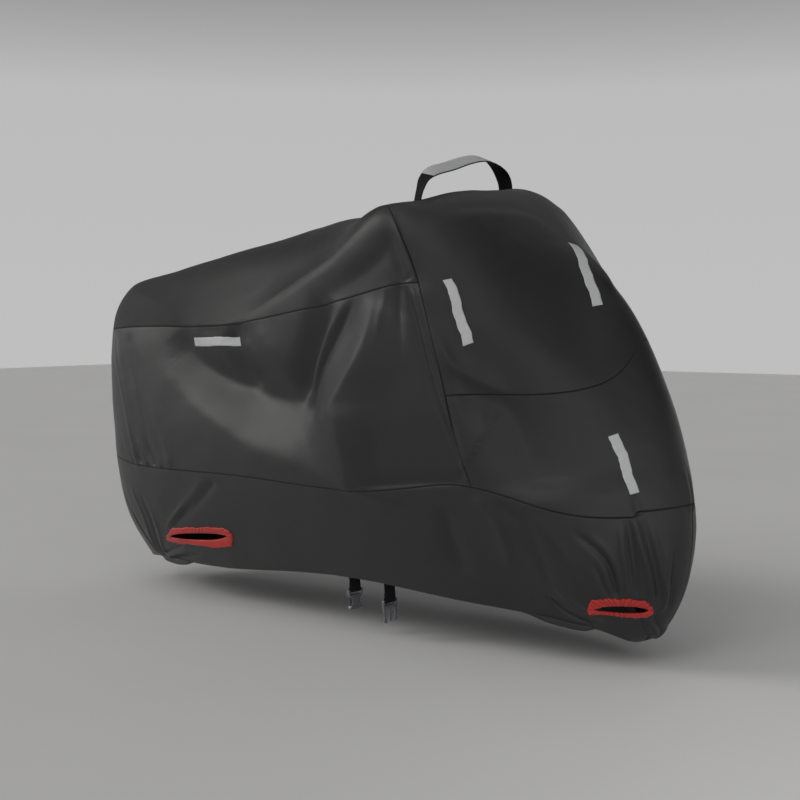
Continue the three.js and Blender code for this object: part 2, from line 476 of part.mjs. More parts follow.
// ---------------------------------------------------------------- reflective strips
for (const [half, hand] of [[-1, "right"], [1, "left"]])
  for (const strip of STRIPS) {
    const { from, to, side, lift } = { lift: LIFT, ...strip, side: half, ...(half > 0 ? strip.left : {}) };
    const { long, place } = beside(from, to, side);
    const outer = [], inner = [], faces = [];
    for (let i = 0; i <= STRIP.along; i++)
      for (let j = 0; j <= STRIP.across; j++) {
        const [u, v] = place((i / STRIP.along - 0.5) * long, (j / STRIP.across - 0.5) * STRIP.wide);
        const up = facing(u, v, side);
        const low = facet(u, v, side).addScaledVector(up, lift);
        inner.push(low);
        outer.push(low.clone().addScaledVector(up, TAPE));
      }
    const m = STRIP.across + 1;
    for (let i = 0; i < STRIP.along; i++)
      for (let j = 0; j < STRIP.across; j++) faces.push([i * m + j, (i + 1) * m + j, (i + 1) * m + j + 1], [i * m + j, (i + 1) * m + j + 1, i * m + j + 1]);
    piece(`reflective_strip_${strip.at}_${hand}`, shell(outer, inner, faces), "tape");
  }

// ---------------------------------------------------------------- ribbons
// A flat ribbon of stations { p, wide, face }: the middle, the width direction and the outer face.
function ribbon(stations, width, thick) {
  const points = stations.flatMap(({ p, wide, face }) =>
    [[-1, -1], [1, -1], [1, 1], [-1, 1]].map(([a, b]) => p.clone().addScaledVector(wide, (a * width) / 2).addScaledVector(face, (b * thick) / 2)),
  );
  const faces = [[0, 1, 2], [0, 2, 3]];
  const last = (stations.length - 1) * 4;
  faces.push([last, last + 2, last + 1], [last, last + 3, last + 2]);
  for (let k = 0; k + 1 < stations.length; k++)
    for (let e = 0; e < 4; e++) {
      const [a, b, c, d] = [4 * k + e, 4 * k + ((e + 1) % 4), 4 * k + 4 + ((e + 1) % 4), 4 * k + 4 + e];
      // the two broad faces are split the same way, so that layers lie on each other where they twist
      if (e === 2) faces.push([a, d, b], [b, d, c]);
      else faces.push([a, c, b], [a, d, c]);
    }
  return closed(points, faces);
}
const strap_curve = new THREE.CatmullRomCurve3(STRAP_LINE.map((r) => new THREE.Vector3(r.x, r.y, r.z)), false, "centripetal");
const width_curve = new THREE.CatmullRomCurve3(STRAP_LINE.map((r) => new THREE.Vector3(...r.wide).normalize()), false, "catmullrom");
const strap_at = (t) => {
  const p = strap_curve.getPoint(t);
  const along = strap_curve.getTangent(t);
  const wide = width_curve.getPoint(t);
  wide.addScaledVector(along, -wide.dot(along)).normalize();
  return { p, wide, face: along.clone().cross(wide).negate().normalize() };
};
const strap_stations = steps(0, 1, STRAP.steps).map(strap_at);
// the two ends are cut to the slope of the crown
const crown = cover.getObjectByName("front_panel_upper");
crown.updateMatrixWorld(true);
const down = new THREE.Raycaster();
function crown_height(p) {
  down.set(new THREE.Vector3(p.x, p.y, 1600), new THREE.Vector3(0, 0, -1));
  const hit = down.intersectObject(crown)[0];
  return hit ? hit.point.z : -Infinity;
}
const strap = ribbon(strap_stations, STRAP.wide, STRAP.thick);
{
  const at = strap.getAttribute("position");
  for (let k = 0; k < at.count; k++) {
    if (k >= 4 && k < at.count - 4) continue;
    const p = new THREE.Vector3().fromBufferAttribute(at, k);
    at.setZ(k, crown_height(p) + STRAP.clear);
  }
}
piece("carrying_strap", strap, "webbing");
{
  const first = Math.round(STRAP_TAPE.from * STRAP.steps);
  const last = Math.round(STRAP_TAPE.to * STRAP.steps);
  const tape = strap_stations.slice(first, last + 1).map(({ p, wide, face }) => ({ p: p.clone().addScaledVector(face, (STRAP.thick + TAPE) / 2 + GAP), wide, face }));
  piece("carrying_strap_tape", ribbon(tape, STRAP_TAPE.wide, TAPE), "tape");
}

// ---------------------------------------------------------------- webbing tails and clip
// In the plane of a clip: across, up, and out of its face.
const clip_frame = (tail) => {
  const up = new THREE.Vector3(0, 0, 1);
  const across = TAIL_ACROSS.clone().applyAxisAngle(TAIL_ACROSS.clone().cross(up).normalize(), tail.slope).normalize();
  const face = across.clone().cross(up).normalize();
  const square = face.clone().cross(across).normalize();
  return { across, square, face, origin: new THREE.Vector3(tail.x, tail.y, tail.bar) };
};
function tail_ribbon(tail) {
  const { across, square, face, origin } = clip_frame(tail);
  const stations = [];
  // sewn flat inside the skirt, then turned to hang square to the view of the clip
  const up = [0.36, 0.26, 0.17];
  for (const v of up) {
    const n = facing(tail.section, v, -1);
    const along = skin(tail.section + STEP, v, -1).sub(skin(tail.section - STEP, v, -1)).normalize();
    stations.push({ p: facet(tail.section, v, -1).addScaledVector(n, -CLOTH - 2.2 - WEB.thick / 2), wide: along, face: n });
  }
  const from = stations[stations.length - 1];
  const to = { p: new THREE.Vector3(tail.x, tail.y, tail.hem - 6), wide: across, face };
  // face looks out of the cover at the top, and turns to the face of the clip
  const turns = 7;
  for (let k = 1; k <= turns; k++) {
    const t = smooth(0, 1, k / turns);
    const p = from.p.clone().lerp(to.p, t);
    p.z = mix(from.p.z, to.p.z, k / turns);
    const wide = from.wide.clone().lerp(to.wide, t).normalize();
    const near = k === turns ? to.p.clone() : p;
    const side = from.face.clone().lerp(to.face, t);
    side.addScaledVector(wide, -side.dot(wide)).normalize();
    stations.push({ p: near, wide, face: side });
  }
  // down, round the bar and back up behind
  const put = (a, b, out) => stations.push({ p: origin.clone().addScaledVector(square, a).addScaledVector(face, b), wide: across, face: face.clone().multiplyScalar(Math.cos(out)).addScaledVector(square, -Math.sin(out)).normalize() });
  const r = CLIP.wrap;
  put(6, r, 0);
  for (const deg of [0, 30, 60, 90, 120, 150, 180]) {
    const a = THREE.MathUtils.degToRad(deg);
    put(-r * Math.sin(a), r * Math.cos(a), a);
  }
  put(7, -1.4, Math.PI * 1.12);
  put(14, 1.6, Math.PI);
  put(24, 1.7, Math.PI);
  return ribbon(stations, WEB.wide, WEB.thick);
}
function placed(geometry, tail) {
  const { across, square, face, origin } = clip_frame(tail);
  const m = new THREE.Matrix4().makeBasis(across, square, face).setPosition(origin);
  return geometry.applyMatrix4(m);
}
const outline = (rows) => new THREE.Shape(rows.map(([a, b]) => new THREE.Vector2(a, b)));
function slab(shape, thick, bevel = 0) {
  const g = new THREE.ExtrudeGeometry(shape, { depth: thick - 2 * bevel, bevelEnabled: bevel > 0, bevelThickness: bevel, bevelSize: bevel, bevelOffset: -bevel, bevelSegments: 2, curveSegments: 6, steps: 1 });
  return solid(g.translate(0, 0, -thick / 2 + bevel));
}
const block = (x, y, z, at) => solid(new THREE.BoxGeometry(x, y, z).translate(...at));
// both halves of an outline from its right edge, top to bottom
const twin = (rows) => outline([...rows.map(([a, b]) => [a, b]), ...rows.map(([a, b]) => [-a, b]).reverse()]);

// Socket half: a bar over a slot, a waisted body, open below and at the waist.
const SOCKET = { top: 4.5, slot: 41, cavity: { wide: 38, deep: 8.8, top: -14, end: -56 } };
{
  const tail = TAILS[0];
  const edge = [[24, SOCKET.top], [25, 2], [25, -8], [22, -13], [16.5, -20], [14.5, -27], [14.8, -33], [18.5, -41], [22.6, -47], [23.4, -50.5], [22.4, -52]];
  let body = slab(twin(edge), CLIP.thick, 1.6);
  // the slots that leave the bar, for the webbing to pass round it
  const bar = CLIP.bar / 2;
  body = body.subtract(block(SOCKET.slot, 8.6, 40, [0, -bar - 4.3, 0]));
  body = body.subtract(block(SOCKET.slot, 20, 40, [0, bar + 10, 0]));
  body = body.subtract(block(SOCKET.slot, 12, 10, [0, -1, CLIP.bar / 2 + 5])).subtract(block(SOCKET.slot, 12, 10, [0, -1, -CLIP.bar / 2 - 5]));
  const c = SOCKET.cavity;
  body = body.subtract(block(c.wide, c.top - c.end, c.deep, [0, (c.top + c.end) / 2, 0]));
  piece("clip_socket_half", placed(geometry_of(body), tail), "clip");
  piece("webbing_tail_socket", tail_ribbon(tail), "webbing");
}
// Pronged half: a frame with two slots, two springy side prongs and a middle guide.
{
  const tail = TAILS[1];
  const frame = [[23, 6], [24.5, 3], [24.5, -14], [23, -20]];
  const bar = CLIP.bar / 2;
  let body = slab(twin(frame), 9, 1.2);
  body = body.subtract(block(41, 7.6, 40, [0, -bar - 3.8, 0]));
  body = body.subtract(block(41, 20, 40, [0, bar + 10, 0]));
  body = body.subtract(block(41, 12, 10, [0, -1, CLIP.bar / 2 + 5])).subtract(block(41, 12, 10, [0, -1, -CLIP.bar / 2 - 5]));
  const arm = [[14.5, -18], [22.5, -18], [23.4, -27], [21.5, -38], [20.8, -46], [22.2, -52], [20.8, -58], [17.2, -60], [14.2, -57], [14, -50], [15.8, -40], [16.2, -28]];
  for (const hand of [-1, 1]) body = body.add(slab(outline(hand > 0 ? arm : arm.map(([a, b]) => [-a, b]).reverse()), 6, 0.8));
  body = body.add(slab(twin([[3.2, -18], [3.2, -54], [2.2, -57.5]]), 5, 0.6));
  piece("clip_pronged_half", placed(geometry_of(body), tail), "clip");
  piece("webbing_tail_pronged", tail_ribbon(tail), "webbing");
}

// ---------------------------------------------------------------- origin under the crown
const hang = skin(HANG_AT, ENDS.up, -1).addScaledVector(facing(HANG_AT, ENDS.up, -1), -CLOTH);
cover.position.set(-hang.x, -hang.y, -hang.z);
export default cover;
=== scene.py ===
# Fitted outdoor cover, hollow: seven sewn panels of coated cloth in the folds of use, gathered
# bindings round the lock holes, reflective strips, a carrying strap, two webbing tails and a clip.
# Metres, and millimetres in the tables. Shapes are worked out over the floor (X forward, Y left,
# Z up) and moved so that the origin is the point under the crown, as in the fixed frame.
import math
import bpy
import numpy as np
from mathutils import Matrix, Vector


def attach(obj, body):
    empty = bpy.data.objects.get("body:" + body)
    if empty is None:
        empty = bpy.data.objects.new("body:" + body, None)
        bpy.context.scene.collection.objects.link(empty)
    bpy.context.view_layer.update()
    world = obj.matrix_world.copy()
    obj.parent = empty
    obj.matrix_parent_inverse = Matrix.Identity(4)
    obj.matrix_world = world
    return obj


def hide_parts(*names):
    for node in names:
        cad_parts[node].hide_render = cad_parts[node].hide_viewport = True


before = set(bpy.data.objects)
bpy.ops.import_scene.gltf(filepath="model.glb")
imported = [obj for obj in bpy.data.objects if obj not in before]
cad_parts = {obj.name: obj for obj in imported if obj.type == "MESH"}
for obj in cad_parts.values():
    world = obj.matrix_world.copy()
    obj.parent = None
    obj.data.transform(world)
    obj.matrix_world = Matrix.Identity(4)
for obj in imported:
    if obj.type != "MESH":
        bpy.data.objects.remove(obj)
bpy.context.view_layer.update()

# ------------------------------------------------------------------ sizes
CLOTH = 0.0011         # thickness of the shown cloth
GRID = 0.0060
HANG = (0.3699185, 0.0001649, 1.2291062)   # the point under the crown, over the floor
LEAN, LEAN_CROWN, TURN = 0.19, -0.10, 0.04
GROOVE = dict(deep=.0008, wide=.0021)   # a sewn edge rolls in
SEAM_STEPS = (0, .0010, .0020, .0032, .0050, .0078)   # close lines beside a seam

LEVELS = ["hem", "low", "skirt", "front", "side", "shoulder", "top", "spine"]
# one row a section, from the middle of the tail to the middle of the nose; mm
SECTIONS = [
    dict(at="tail middle", run=0, hem=(-929, 0, 93), low=(-986, 0, 269), skirt=(-1023, 0, 451), front=(-1039, 0, 653), side=(-1037, 0, 862), shoulder=(-1022, 0, 952), top=(-987, 0, 1018), spine=(-928, 0, 1022)),
    dict(at="tail corner", run=171, hem=(-887, 102, 86), low=(-962, 159, 244), skirt=(-993, 177, 441), front=(-1012, 180, 651), side=(-1016, 179, 864), shoulder=(-987, 143, 966), top=(-951, 88, 1019), spine=(-853, 0, 1022)),
    dict(at="rear side", run=375, hem=(-716, 191, 122), low=(-801, 259, 235), skirt=(-805, 258, 402), front=(-817, 257, 642), side=(-831, 233, 891), shoulder=(-814, 183, 983), top=(-799, 106, 1034), spine=(-755, 0, 1048)),
    dict(at="rear quarter", run=656, hem=(-434, 229, 115), low=(-490, 281, 253), skirt=(-511, 300, 409), front=(-525, 295, 642), side=(-534, 252, 879), shoulder=(-535, 197, 1013), top=(-528, 111, 1090), spine=(-517, 0, 1108)),
    dict(at="mid side", run=961, hem=(-143, 246, 152), low=(-169, 288, 276), skirt=(-195, 318, 417), front=(-221, 325, 641), side=(-239, 271, 878), shoulder=(-245, 211, 1035), top=(-243, 112, 1127), spine=(-258, 0, 1155)),
    dict(at="front quarter", run=1260, hem=(152, 257, 171), low=(136, 295, 272), skirt=(120, 338, 393), front=(88, 357, 651), side=(45, 331, 966), shoulder=(27, 276, 1103), top=(-10, 148, 1184), spine=(-27, 0, 1203)),
    dict(at="behind the upright seam", run=1509, hem=(438, 249, 147), low=(430, 287, 283), skirt=(397, 339, 427), front=(340, 381, 665), side=(274, 361, 1052), shoulder=(196, 353, 1179), top=(145, 189, 1157), spine=(163, 0, 1199)),
    dict(at="upright seam", run=1703, hem=(657, 196, 133), low=(637, 252, 286), skirt=(550, 340, 476), front=(506, 360, 736), side=(428, 345, 1071), shoulder=(309, 389, 1285), top=(252, 219, 1165), spine=(298, 0, 1207)),
    dict(at="front corner", run=1925, hem=(825, 148, 110), low=(818, 226, 187), skirt=(821, 273, 350), front=(730, 280, 765), side=(614, 279, 999), shoulder=(463, 294, 1205), top=(366, 192, 1266), spine=(342, 0, 1217)),
    dict(at="beside the nose", run=2138, hem=(876, 94, 76), low=(921, 117, 152), skirt=(1012, 122, 380), front=(899, 75, 745), side=(691, 124, 1013), shoulder=(522, 161, 1213), top=(425, 100, 1257), spine=(375, 0, 1217)),
    dict(at="nose middle", run=2276, hem=(905, 0, 45), low=(989, 0, 43), skirt=(1095, 0, 364), front=(888, 0, 959), side=(651, 0, 1126), shoulder=(524, 0, 1221), top=(446, 0, 1249), spine=(388, 0, 1228)),
]
NU, NV = len(SECTIONS) - 1, len(LEVELS) - 1

# Where a seam leaves its line of the net: at = place along it, by = how far, in sections or levels.
SEAM_SHIFTS = dict(
    skirt=dict(level=2, rows=[(0, 0), (8.80, 0), (8.88, .040), (10, .040)]),
    side=dict(level=4, rows=[(0, 0), (10, 0)]),
    front=dict(level=3, rows=[(7, 0), (10, 0)]),
    upright=dict(section=7, rows=[(2, 0), (7, 0)]),
)

# Where the turned hem shows below the hem line: way round, half of its length, depth; mm.
LIPS = [
    dict(at="behind the rear lock hole", run=415, half=120, deep=17),
    dict(at="before the front lock hole", run=1835, half=150, deep=15),
    dict(at="slack of the left hem by the nose", run=1760, half=520, deep=72, side=1),
]
LIP_LEAST = 3.0

# Folds on the flattened side, mm: line holds the places (way round, height over the floor) that
# the fold passes; over and under are its widths above and below it, at its two ends; tip is how
# round its edge is; rise how far the cloth stands out at its start, middle and end.
FOLDS = [
    dict(at="swag valley under the side seam", kind="facet", line=[(630, 861), (677, 788), (770, 734), (964, 675), (1165, 648), (1284, 618)], over=(46, 140), under=(80, 150), tip=18, rise=(-9, -54, -26), ends=(0.1, 0.1), side=0),
    dict(at="ledge along the side seam", kind="round", line=[(671, 872), (804, 869), (988, 877)], over=(50, 50), under=(24, 30), tip=4, rise=(4, 8, 4), ends=(0.15, 0.2), side=0),
    dict(at="edge of the hollow", kind="facet", line=[(875, 854), (928, 761), (976, 687)], over=(80, 60), under=(60, 60), tip=4, rise=(-14, -24, -10), ends=(0.1, 0.2), side=0),
    dict(at="facet beside the hollow", kind="round", line=[(1022, 856), (1090, 770), (1153, 674)], over=(40, 40), under=(40, 40), tip=20, rise=(2, 4, 2), ends=(0.1, 0.2), side=0),
    dict(at="dark wedge", kind="facet", line=[(1353, 926), (1268, 801), (1171, 666)], over=(70, 80), under=(22, 24), tip=4, rise=(-10, -34, -20), ends=(0.08, 0.14), side=0),
    dict(at="first pleat", kind="facet", line=[(1430, 933), (1314, 823), (1218, 675)], over=(30, 34), under=(18, 20), tip=6, rise=(4, 9, 5), ends=(0.08, 0.14), side=0),
    dict(at="crease between the pleats", kind="round", line=[(1452, 928), (1373, 836), (1293, 747), (1221, 641)], over=(12, 14), under=(12, 14), tip=4, rise=(-3, -7, -5), ends=(0.08, 0.14), side=0),
    dict(at="bright pleat", kind="facet", line=[(1547, 938), (1509, 850), (1452, 771), (1348, 660), (1252, 578)], over=(44, 92), under=(120, 160), tip=7, rise=(5, 31, 16), ends=(0.06, 0.16), side=0),
    dict(at="lip below the swag", kind="round", line=[(773, 599), (982, 503), (1218, 470)], over=(60, 64), under=(80, 90), tip=30, rise=(2, 6, 6), ends=(0.2, 0.2), side=0),
    dict(at="upright fold in the side", kind="facet", line=[(1356, 669), (1358, 561), (1322, 419)], over=(150, 150), under=(140, 150), tip=6, rise=(6, 22, 16), ends=(0.2, 0.08), side=0),
    dict(at="hollow behind the lower corner", kind="round", line=[(1477, 649), (1459, 542), (1425, 434)], over=(60, 70), under=(60, 60), tip=20, rise=(-2, -4, -4), ends=(0.2, 0.1), side=0),
    dict(at="light streak under the seam end", kind="round", line=[(1591, 973), (1565, 904), (1537, 838)], over=(14, 14), under=(12, 14), tip=7, rise=(1.5, 3.0, 1.5), ends=(0.08, 0.3), side=0),
    dict(at="dark streak under the seam end", kind="round", line=[(1635, 974), (1617, 906), (1610, 827)], over=(14, 14), under=(12, 12), tip=6, rise=(-6.0, -7.5, -3.0), ends=(0.08, 0.3), side=0),
    dict(at="line beside the upright seam", kind="round", line=[(1659, 955), (1669, 732), (1689, 582), (1691, 506)], over=(9, 10), under=(9, 10), tip=4, rise=(-4.5, -6.0, -4.5), ends=(0.05, 0.1), side=0),
    dict(at="pipe beside the upright seam", kind="round", line=[(1677, 962), (1687, 722), (1705, 582), (1703, 501)], over=(9, 9), under=(9, 9), tip=4, rise=(6.0, 7.5, 4.5), ends=(0.05, 0.1), side=0),
    dict(at="drag above the skirt seam", kind="round", line=[(1371, 441), (1528, 459), (1677, 474)], over=(26, 30), under=(10, 10), tip=6, rise=(-4, -6, -5), ends=(0.2, 0.1), side=0),
    dict(at="tail edge ridge", kind="round", line=[(260, 836), (316, 697), (377, 528), (405, 427)], over=(16, 16), under=(16, 16), tip=8, rise=(5.1, 8.5, 6.8), ends=(0.05, 0.1), side=0),
    dict(at="tail edge trough", kind="round", line=[(354, 831), (395, 690), (458, 533), (484, 435)], over=(26, 26), under=(20, 20), tip=10, rise=(-3.4, -5.1, -5.1), ends=(0.05, 0.1), side=0),
    dict(at="tail gather one", kind="round", line=[(309, 510), (349, 468), (380, 428)], over=(7, 7), under=(7, 7), tip=3, rise=(1.7, 5.1, 6.8), ends=(0.2, 0.08), side=0),
    dict(at="tail gather two", kind="round", line=[(413, 504), (447, 462), (467, 423)], over=(7, 7), under=(7, 7), tip=3, rise=(1.7, 5.1, 6.8), ends=(0.2, 0.08), side=0),
    dict(at="tail gather three", kind="round", line=[(501, 492), (527, 456), (544, 423)], over=(7, 7), under=(7, 7), tip=3, rise=(1.7, 3.4, 6.8), ends=(0.2, 0.08), side=0),
    dict(at="tail gather between one and two", kind="round", line=[(368, 508), (402, 465), (431, 427)], over=(6, 6), under=(6, 6), tip=3, rise=(-1.7, -3.4, -6.8), ends=(0.2, 0.08), side=0),
    dict(at="tail gather between two and three", kind="round", line=[(461, 499), (486, 460), (506, 423)], over=(6, 6), under=(6, 6), tip=3, rise=(-1.7, -3.4, -6.8), ends=(0.2, 0.08), side=0),
    dict(at="light end of the side", kind="round", line=[(498, 631), (559, 522), (591, 428)], over=(30, 20), under=(30, 20), tip=10, rise=(1, 3, 6), ends=(0.2, 0.08), side=0),
    dict(at="streak on the tail panel", kind="facet", line=[(1701, 1161), (1555, 1097), (1396, 1029), (1221, 968), (1053, 909), (912, 865)], over=(52, 66), under=(110, 130), tip=9, rise=(2, 22, 10), ends=(0.03, 0.12), side=0),
    dict(at="edge of the streak", kind="round", line=[(1675, 1165), (1537, 1109), (1371, 1041), (1192, 983), (1028, 921), (909, 880)], over=(14, 16), under=(13, 15), tip=6, rise=(1, 3, 1), ends=(0.08, 0.14), side=0),
    dict(at="trough below the streak", kind="round", line=[(1667, 1091), (1559, 1025), (1314, 939)], over=(30, 36), under=(36, 44), tip=14, rise=(-4, -7, -3), ends=(0.1, 0.2), side=0),
    dict(at="pipe behind the upright seam", kind="round", line=[(1705, 1160), (1697, 1076), (1697, 988)], over=(16, 16), under=(10, 10), tip=5, rise=(2, 5, 5), ends=(0.1, 0.08), side=0),
    dict(at="trough behind the pipe", kind="round", line=[(1658, 1112), (1654, 1049), (1654, 981)], over=(18, 20), under=(14, 14), tip=7, rise=(-1, -3, -4), ends=(0.2, 0.06), side=0),
    dict(at="tail end fold", kind="round", line=[(184, 1004), (486, 934), (630, 868)], over=(26, 26), under=(60, 60), tip=10, rise=(3, 6, 5), ends=(0.1, 0.1), side=0),
    dict(at="tail top dent", kind="round", line=[(544, 946), (820, 989), (1174, 1048)], over=(50, 60), under=(50, 60), tip=30, rise=(-2, -4, -2), ends=(0.2, 0.2), side=0),
    dict(at="nick at the seam end", kind="round", line=[(1656, 984), (1679, 994), (1699, 1005)], over=(4, 4), under=(4, 4), tip=1.5, rise=(-2, -3, -2), ends=(0.2, 0.2), side=0),
    dict(at="rim of the front panel", kind="round", line=[(1705, 977), (1709, 862), (1737, 780), (1797, 736), (1860, 710)], over=(34, 40), under=(28, 32), tip=9, rise=(6.0, 12, 8), ends=(0.08, 0.1), side=0),
    dict(at="crown dark band", kind="round", line=[(1867, 1171), (2084, 1179), (2219, 1178), (2276, 1134)], over=(18, 20), under=(20, 24), tip=9, rise=(-1, -2, -2), ends=(0.12, 0.1), side=0),
    dict(at="crown light arc", kind="round", line=[(1925, 1144), (2106, 1163), (2221, 1157), (2255, 1122)], over=(18, 20), under=(30, 34), tip=10, rise=(1, 2, 1), ends=(0.15, 0.15), side=0),
    dict(at="swell before the lower seam", kind="round", line=[(2190, 936), (2186, 849), (2124, 765)], over=(50, 50), under=(50, 50), tip=24, rise=(1, 2, 1), ends=(0.15, 0.15), side=0),
    dict(at="fullness of the right rim", kind="round", line=[(2276, 1078), (2275, 1030), (2245, 972)], over=(60, 60), under=(60, 60), tip=34, rise=(5, 9, 5), ends=(0.2, 0.2), side=0),
    dict(at="broad dent on the front panel", kind="round", line=[(1929, 1062), (2021, 961), (2145, 937)], over=(80, 80), under=(80, 80), tip=40, rise=(-0.6, -1.5, -0.6), ends=(0.2, 0.2), side=0),
    dict(at="front lower swag", kind="facet", line=[(1731, 688), (1808, 684), (1856, 658), (1874, 573), (1890, 462)], over=(140, 230), under=(110, 125), tip=16, rise=(-8, -44, -20), ends=(0.08, 0.1), side=0),
    dict(at="front lower dent", kind="round", line=[(1927, 681), (2001, 649), (2096, 646)], over=(50, 50), under=(46, 46), tip=16, rise=(-1.0, -2.0, -1.0), ends=(0.15, 0.15), side=0),
    dict(at="dent under the lower strip", kind="round", line=[(2112, 459), (2112, 429), (2118, 407)], over=(14, 14), under=(14, 14), tip=4, rise=(-3, -5, -5), ends=(0.2, 0.05), side=0),
    dict(at="light corner of the lower panel", kind="round", line=[(2261, 509), (2264, 449), (2265, 407)], over=(16, 16), under=(16, 16), tip=6, rise=(2, 5, 5), ends=(0.2, 0.05), side=0),
    dict(at="skirt dark diagonal", kind="round", line=[(786, 398), (710, 336), (588, 254)], over=(16, 14), under=(16, 14), tip=5, rise=(-4.2, -4.2, -2.8), ends=(0.06, 0.2), side=0),
    dict(at="skirt light diagonal", kind="round", line=[(734, 400), (656, 330), (521, 240)], over=(14, 12), under=(14, 12), tip=5, rise=(1.8, 2.4, 1.8), ends=(0.06, 0.2), side=0),
    dict(at="wrinkle one above the rear hole", kind="round", line=[(659, 313), (609, 276), (550, 238)], over=(5, 5), under=(5, 5), tip=2, rise=(-2.8, -4.2, -2.8), ends=(0.2, 0.1), side=0),
    dict(at="wrinkle two above the rear hole", kind="round", line=[(630, 316), (573, 272), (509, 229)], over=(5, 5), under=(5, 5), tip=2, rise=(2.8, 4.2, 2.8), ends=(0.2, 0.1), side=0),
    dict(at="corner line one", kind="round", line=[(268, 320), (320, 222), (297, 121)], over=(8, 7), under=(8, 7), tip=3, rise=(-2.8, -5.6, -5.6), ends=(0.12, 0.03), side=0),
    dict(at="corner line two", kind="round", line=[(356, 338), (390, 237), (318, 120)], over=(8, 6), under=(8, 6), tip=3, rise=(2.8, 5.6, 5.6), ends=(0.12, 0.03), side=0),
    dict(at="corner line three", kind="round", line=[(415, 318), (426, 229), (349, 126)], over=(7, 6), under=(7, 6), tip=3, rise=(-2.8, -5.6, -5.6), ends=(0.12, 0.03), side=0),
    dict(at="corner line four", kind="round", line=[(456, 271), (442, 204), (368, 126)], over=(7, 6), under=(7, 6), tip=3, rise=(2.8, 4.2, 5.6), ends=(0.15, 0.03), side=0),
    dict(at="pucker one under the rear hole", kind="round", line=[(529, 170), (450, 150), (324, 112)], over=(5, 5), under=(5, 5), tip=2, rise=(-4.2, -7.0, -5.6), ends=(0.1, 0.1), side=0),
    dict(at="pucker two under the rear hole", kind="round", line=[(544, 156), (469, 139), (373, 115)], over=(5, 5), under=(5, 5), tip=2, rise=(2.8, 5.6, 4.2), ends=(0.1, 0.1), side=0),
    dict(at="pucker three under the rear hole", kind="round", line=[(603, 154), (509, 135), (413, 117)], over=(5, 5), under=(5, 5), tip=2, rise=(-2.8, -5.6, -4.2), ends=(0.1, 0.1), side=0),
    dict(at="skirt soft valley", kind="round", line=[(1598, 390), (1578, 314), (1576, 226)], over=(24, 26), under=(24, 26), tip=9, rise=(-4, -6, -5), ends=(0.1, 0.1), side=0),
    dict(at="skirt band one", kind="round", line=[(1705, 438), (1739, 371), (1711, 258)], over=(26, 30), under=(26, 30), tip=10, rise=(3.6, 5.4, 3.6), ends=(0.08, 0.1), side=0),
    dict(at="skirt band two", kind="round", line=[(1768, 423), (1826, 350), (1831, 233)], over=(24, 28), under=(24, 28), tip=10, rise=(-3.6, -5.4, -3.6), ends=(0.08, 0.1), side=0),
    dict(at="skirt band three", kind="round", line=[(1851, 390), (1901, 317), (1932, 213)], over=(24, 26), under=(24, 26), tip=10, rise=(2.7, 4.5, 3.6), ends=(0.1, 0.1), side=0),
    dict(at="thin crease before the front hole", kind="round", line=[(1954, 355), (1994, 323), (2030, 282), (2069, 200)], over=(12, 14), under=(9, 10), tip=2, rise=(-6.0, -10.5, -7.5), ends=(0.12, 0.06), side=0),
    dict(at="light lip of the thin crease", kind="round", line=[(1974, 354), (2017, 323), (2050, 276), (2080, 206)], over=(8, 8), under=(8, 8), tip=4, rise=(3.0, 6.0, 4.5), ends=(0.12, 0.06), side=0),
    dict(at="short crease before the front hole", kind="round", line=[(1990, 281), (2010, 244), (2039, 195)], over=(8, 8), under=(6, 6), tip=2, rise=(-4.5, -7.5, -4.5), ends=(0.15, 0.06), side=0),
    dict(at="gather one above the front hole", kind="round", line=[(2065, 385), (2071, 308), (2096, 212)], over=(9, 9), under=(9, 9), tip=4, rise=(2.4, 7.2, 4.8), ends=(0.1, 0.06), side=0),
    dict(at="gather between one and two", kind="round", line=[(2086, 391), (2100, 303), (2131, 205)], over=(7, 7), under=(7, 7), tip=3, rise=(-3.6, -7.2, -4.8), ends=(0.1, 0.06), side=0),
    dict(at="gather two above the front hole", kind="round", line=[(2100, 394), (2127, 304), (2179, 191)], over=(9, 9), under=(9, 9), tip=4, rise=(4.8, 10.8, 7.2), ends=(0.08, 0.06), side=0),
    dict(at="gather between two and three", kind="round", line=[(2124, 389), (2152, 304), (2200, 185)], over=(8, 8), under=(8, 8), tip=4, rise=(-2.4, -6.0, -3.6), ends=(0.1, 0.06), side=0),
    dict(at="gather three above the front hole", kind="round", line=[(2145, 377), (2167, 302), (2213, 185)], over=(8, 8), under=(8, 8), tip=4, rise=(2.4, 4.8, 3.6), ends=(0.1, 0.1), side=0),
    dict(at="dark line at the front edge", kind="round", line=[(2213, 319), (2218, 249), (2236, 160)], over=(7, 7), under=(7, 7), tip=2, rise=(-4.5, -7.5, -6.0), ends=(0.1, 0.06), side=0),
    dict(at="light line at the front edge", kind="round", line=[(2190, 325), (2199, 252), (2219, 157)], over=(8, 8), under=(8, 8), tip=4, rise=(3.0, 6.0, 4.5), ends=(0.1, 0.06), side=0),
    dict(at="fan one under the front hole", kind="round", line=[(2164, 144), (2192, 107), (2251, 63)], over=(4, 4), under=(4, 4), tip=2, rise=(-4.5, -6.0, -6.0), ends=(0.1, 0.03), side=0),
    dict(at="fan two under the front hole", kind="round", line=[(2184, 142), (2212, 109), (2275, 69)], over=(4, 4), under=(4, 4), tip=2, rise=(3.0, 6.0, 6.0), ends=(0.1, 0.03), side=0),
    dict(at="fan three under the front hole", kind="round", line=[(2200, 147), (2229, 113), (2276, 84)], over=(4, 4), under=(4, 4), tip=2, rise=(-4.5, -6.0, -6.0), ends=(0.1, 0.03), side=0),
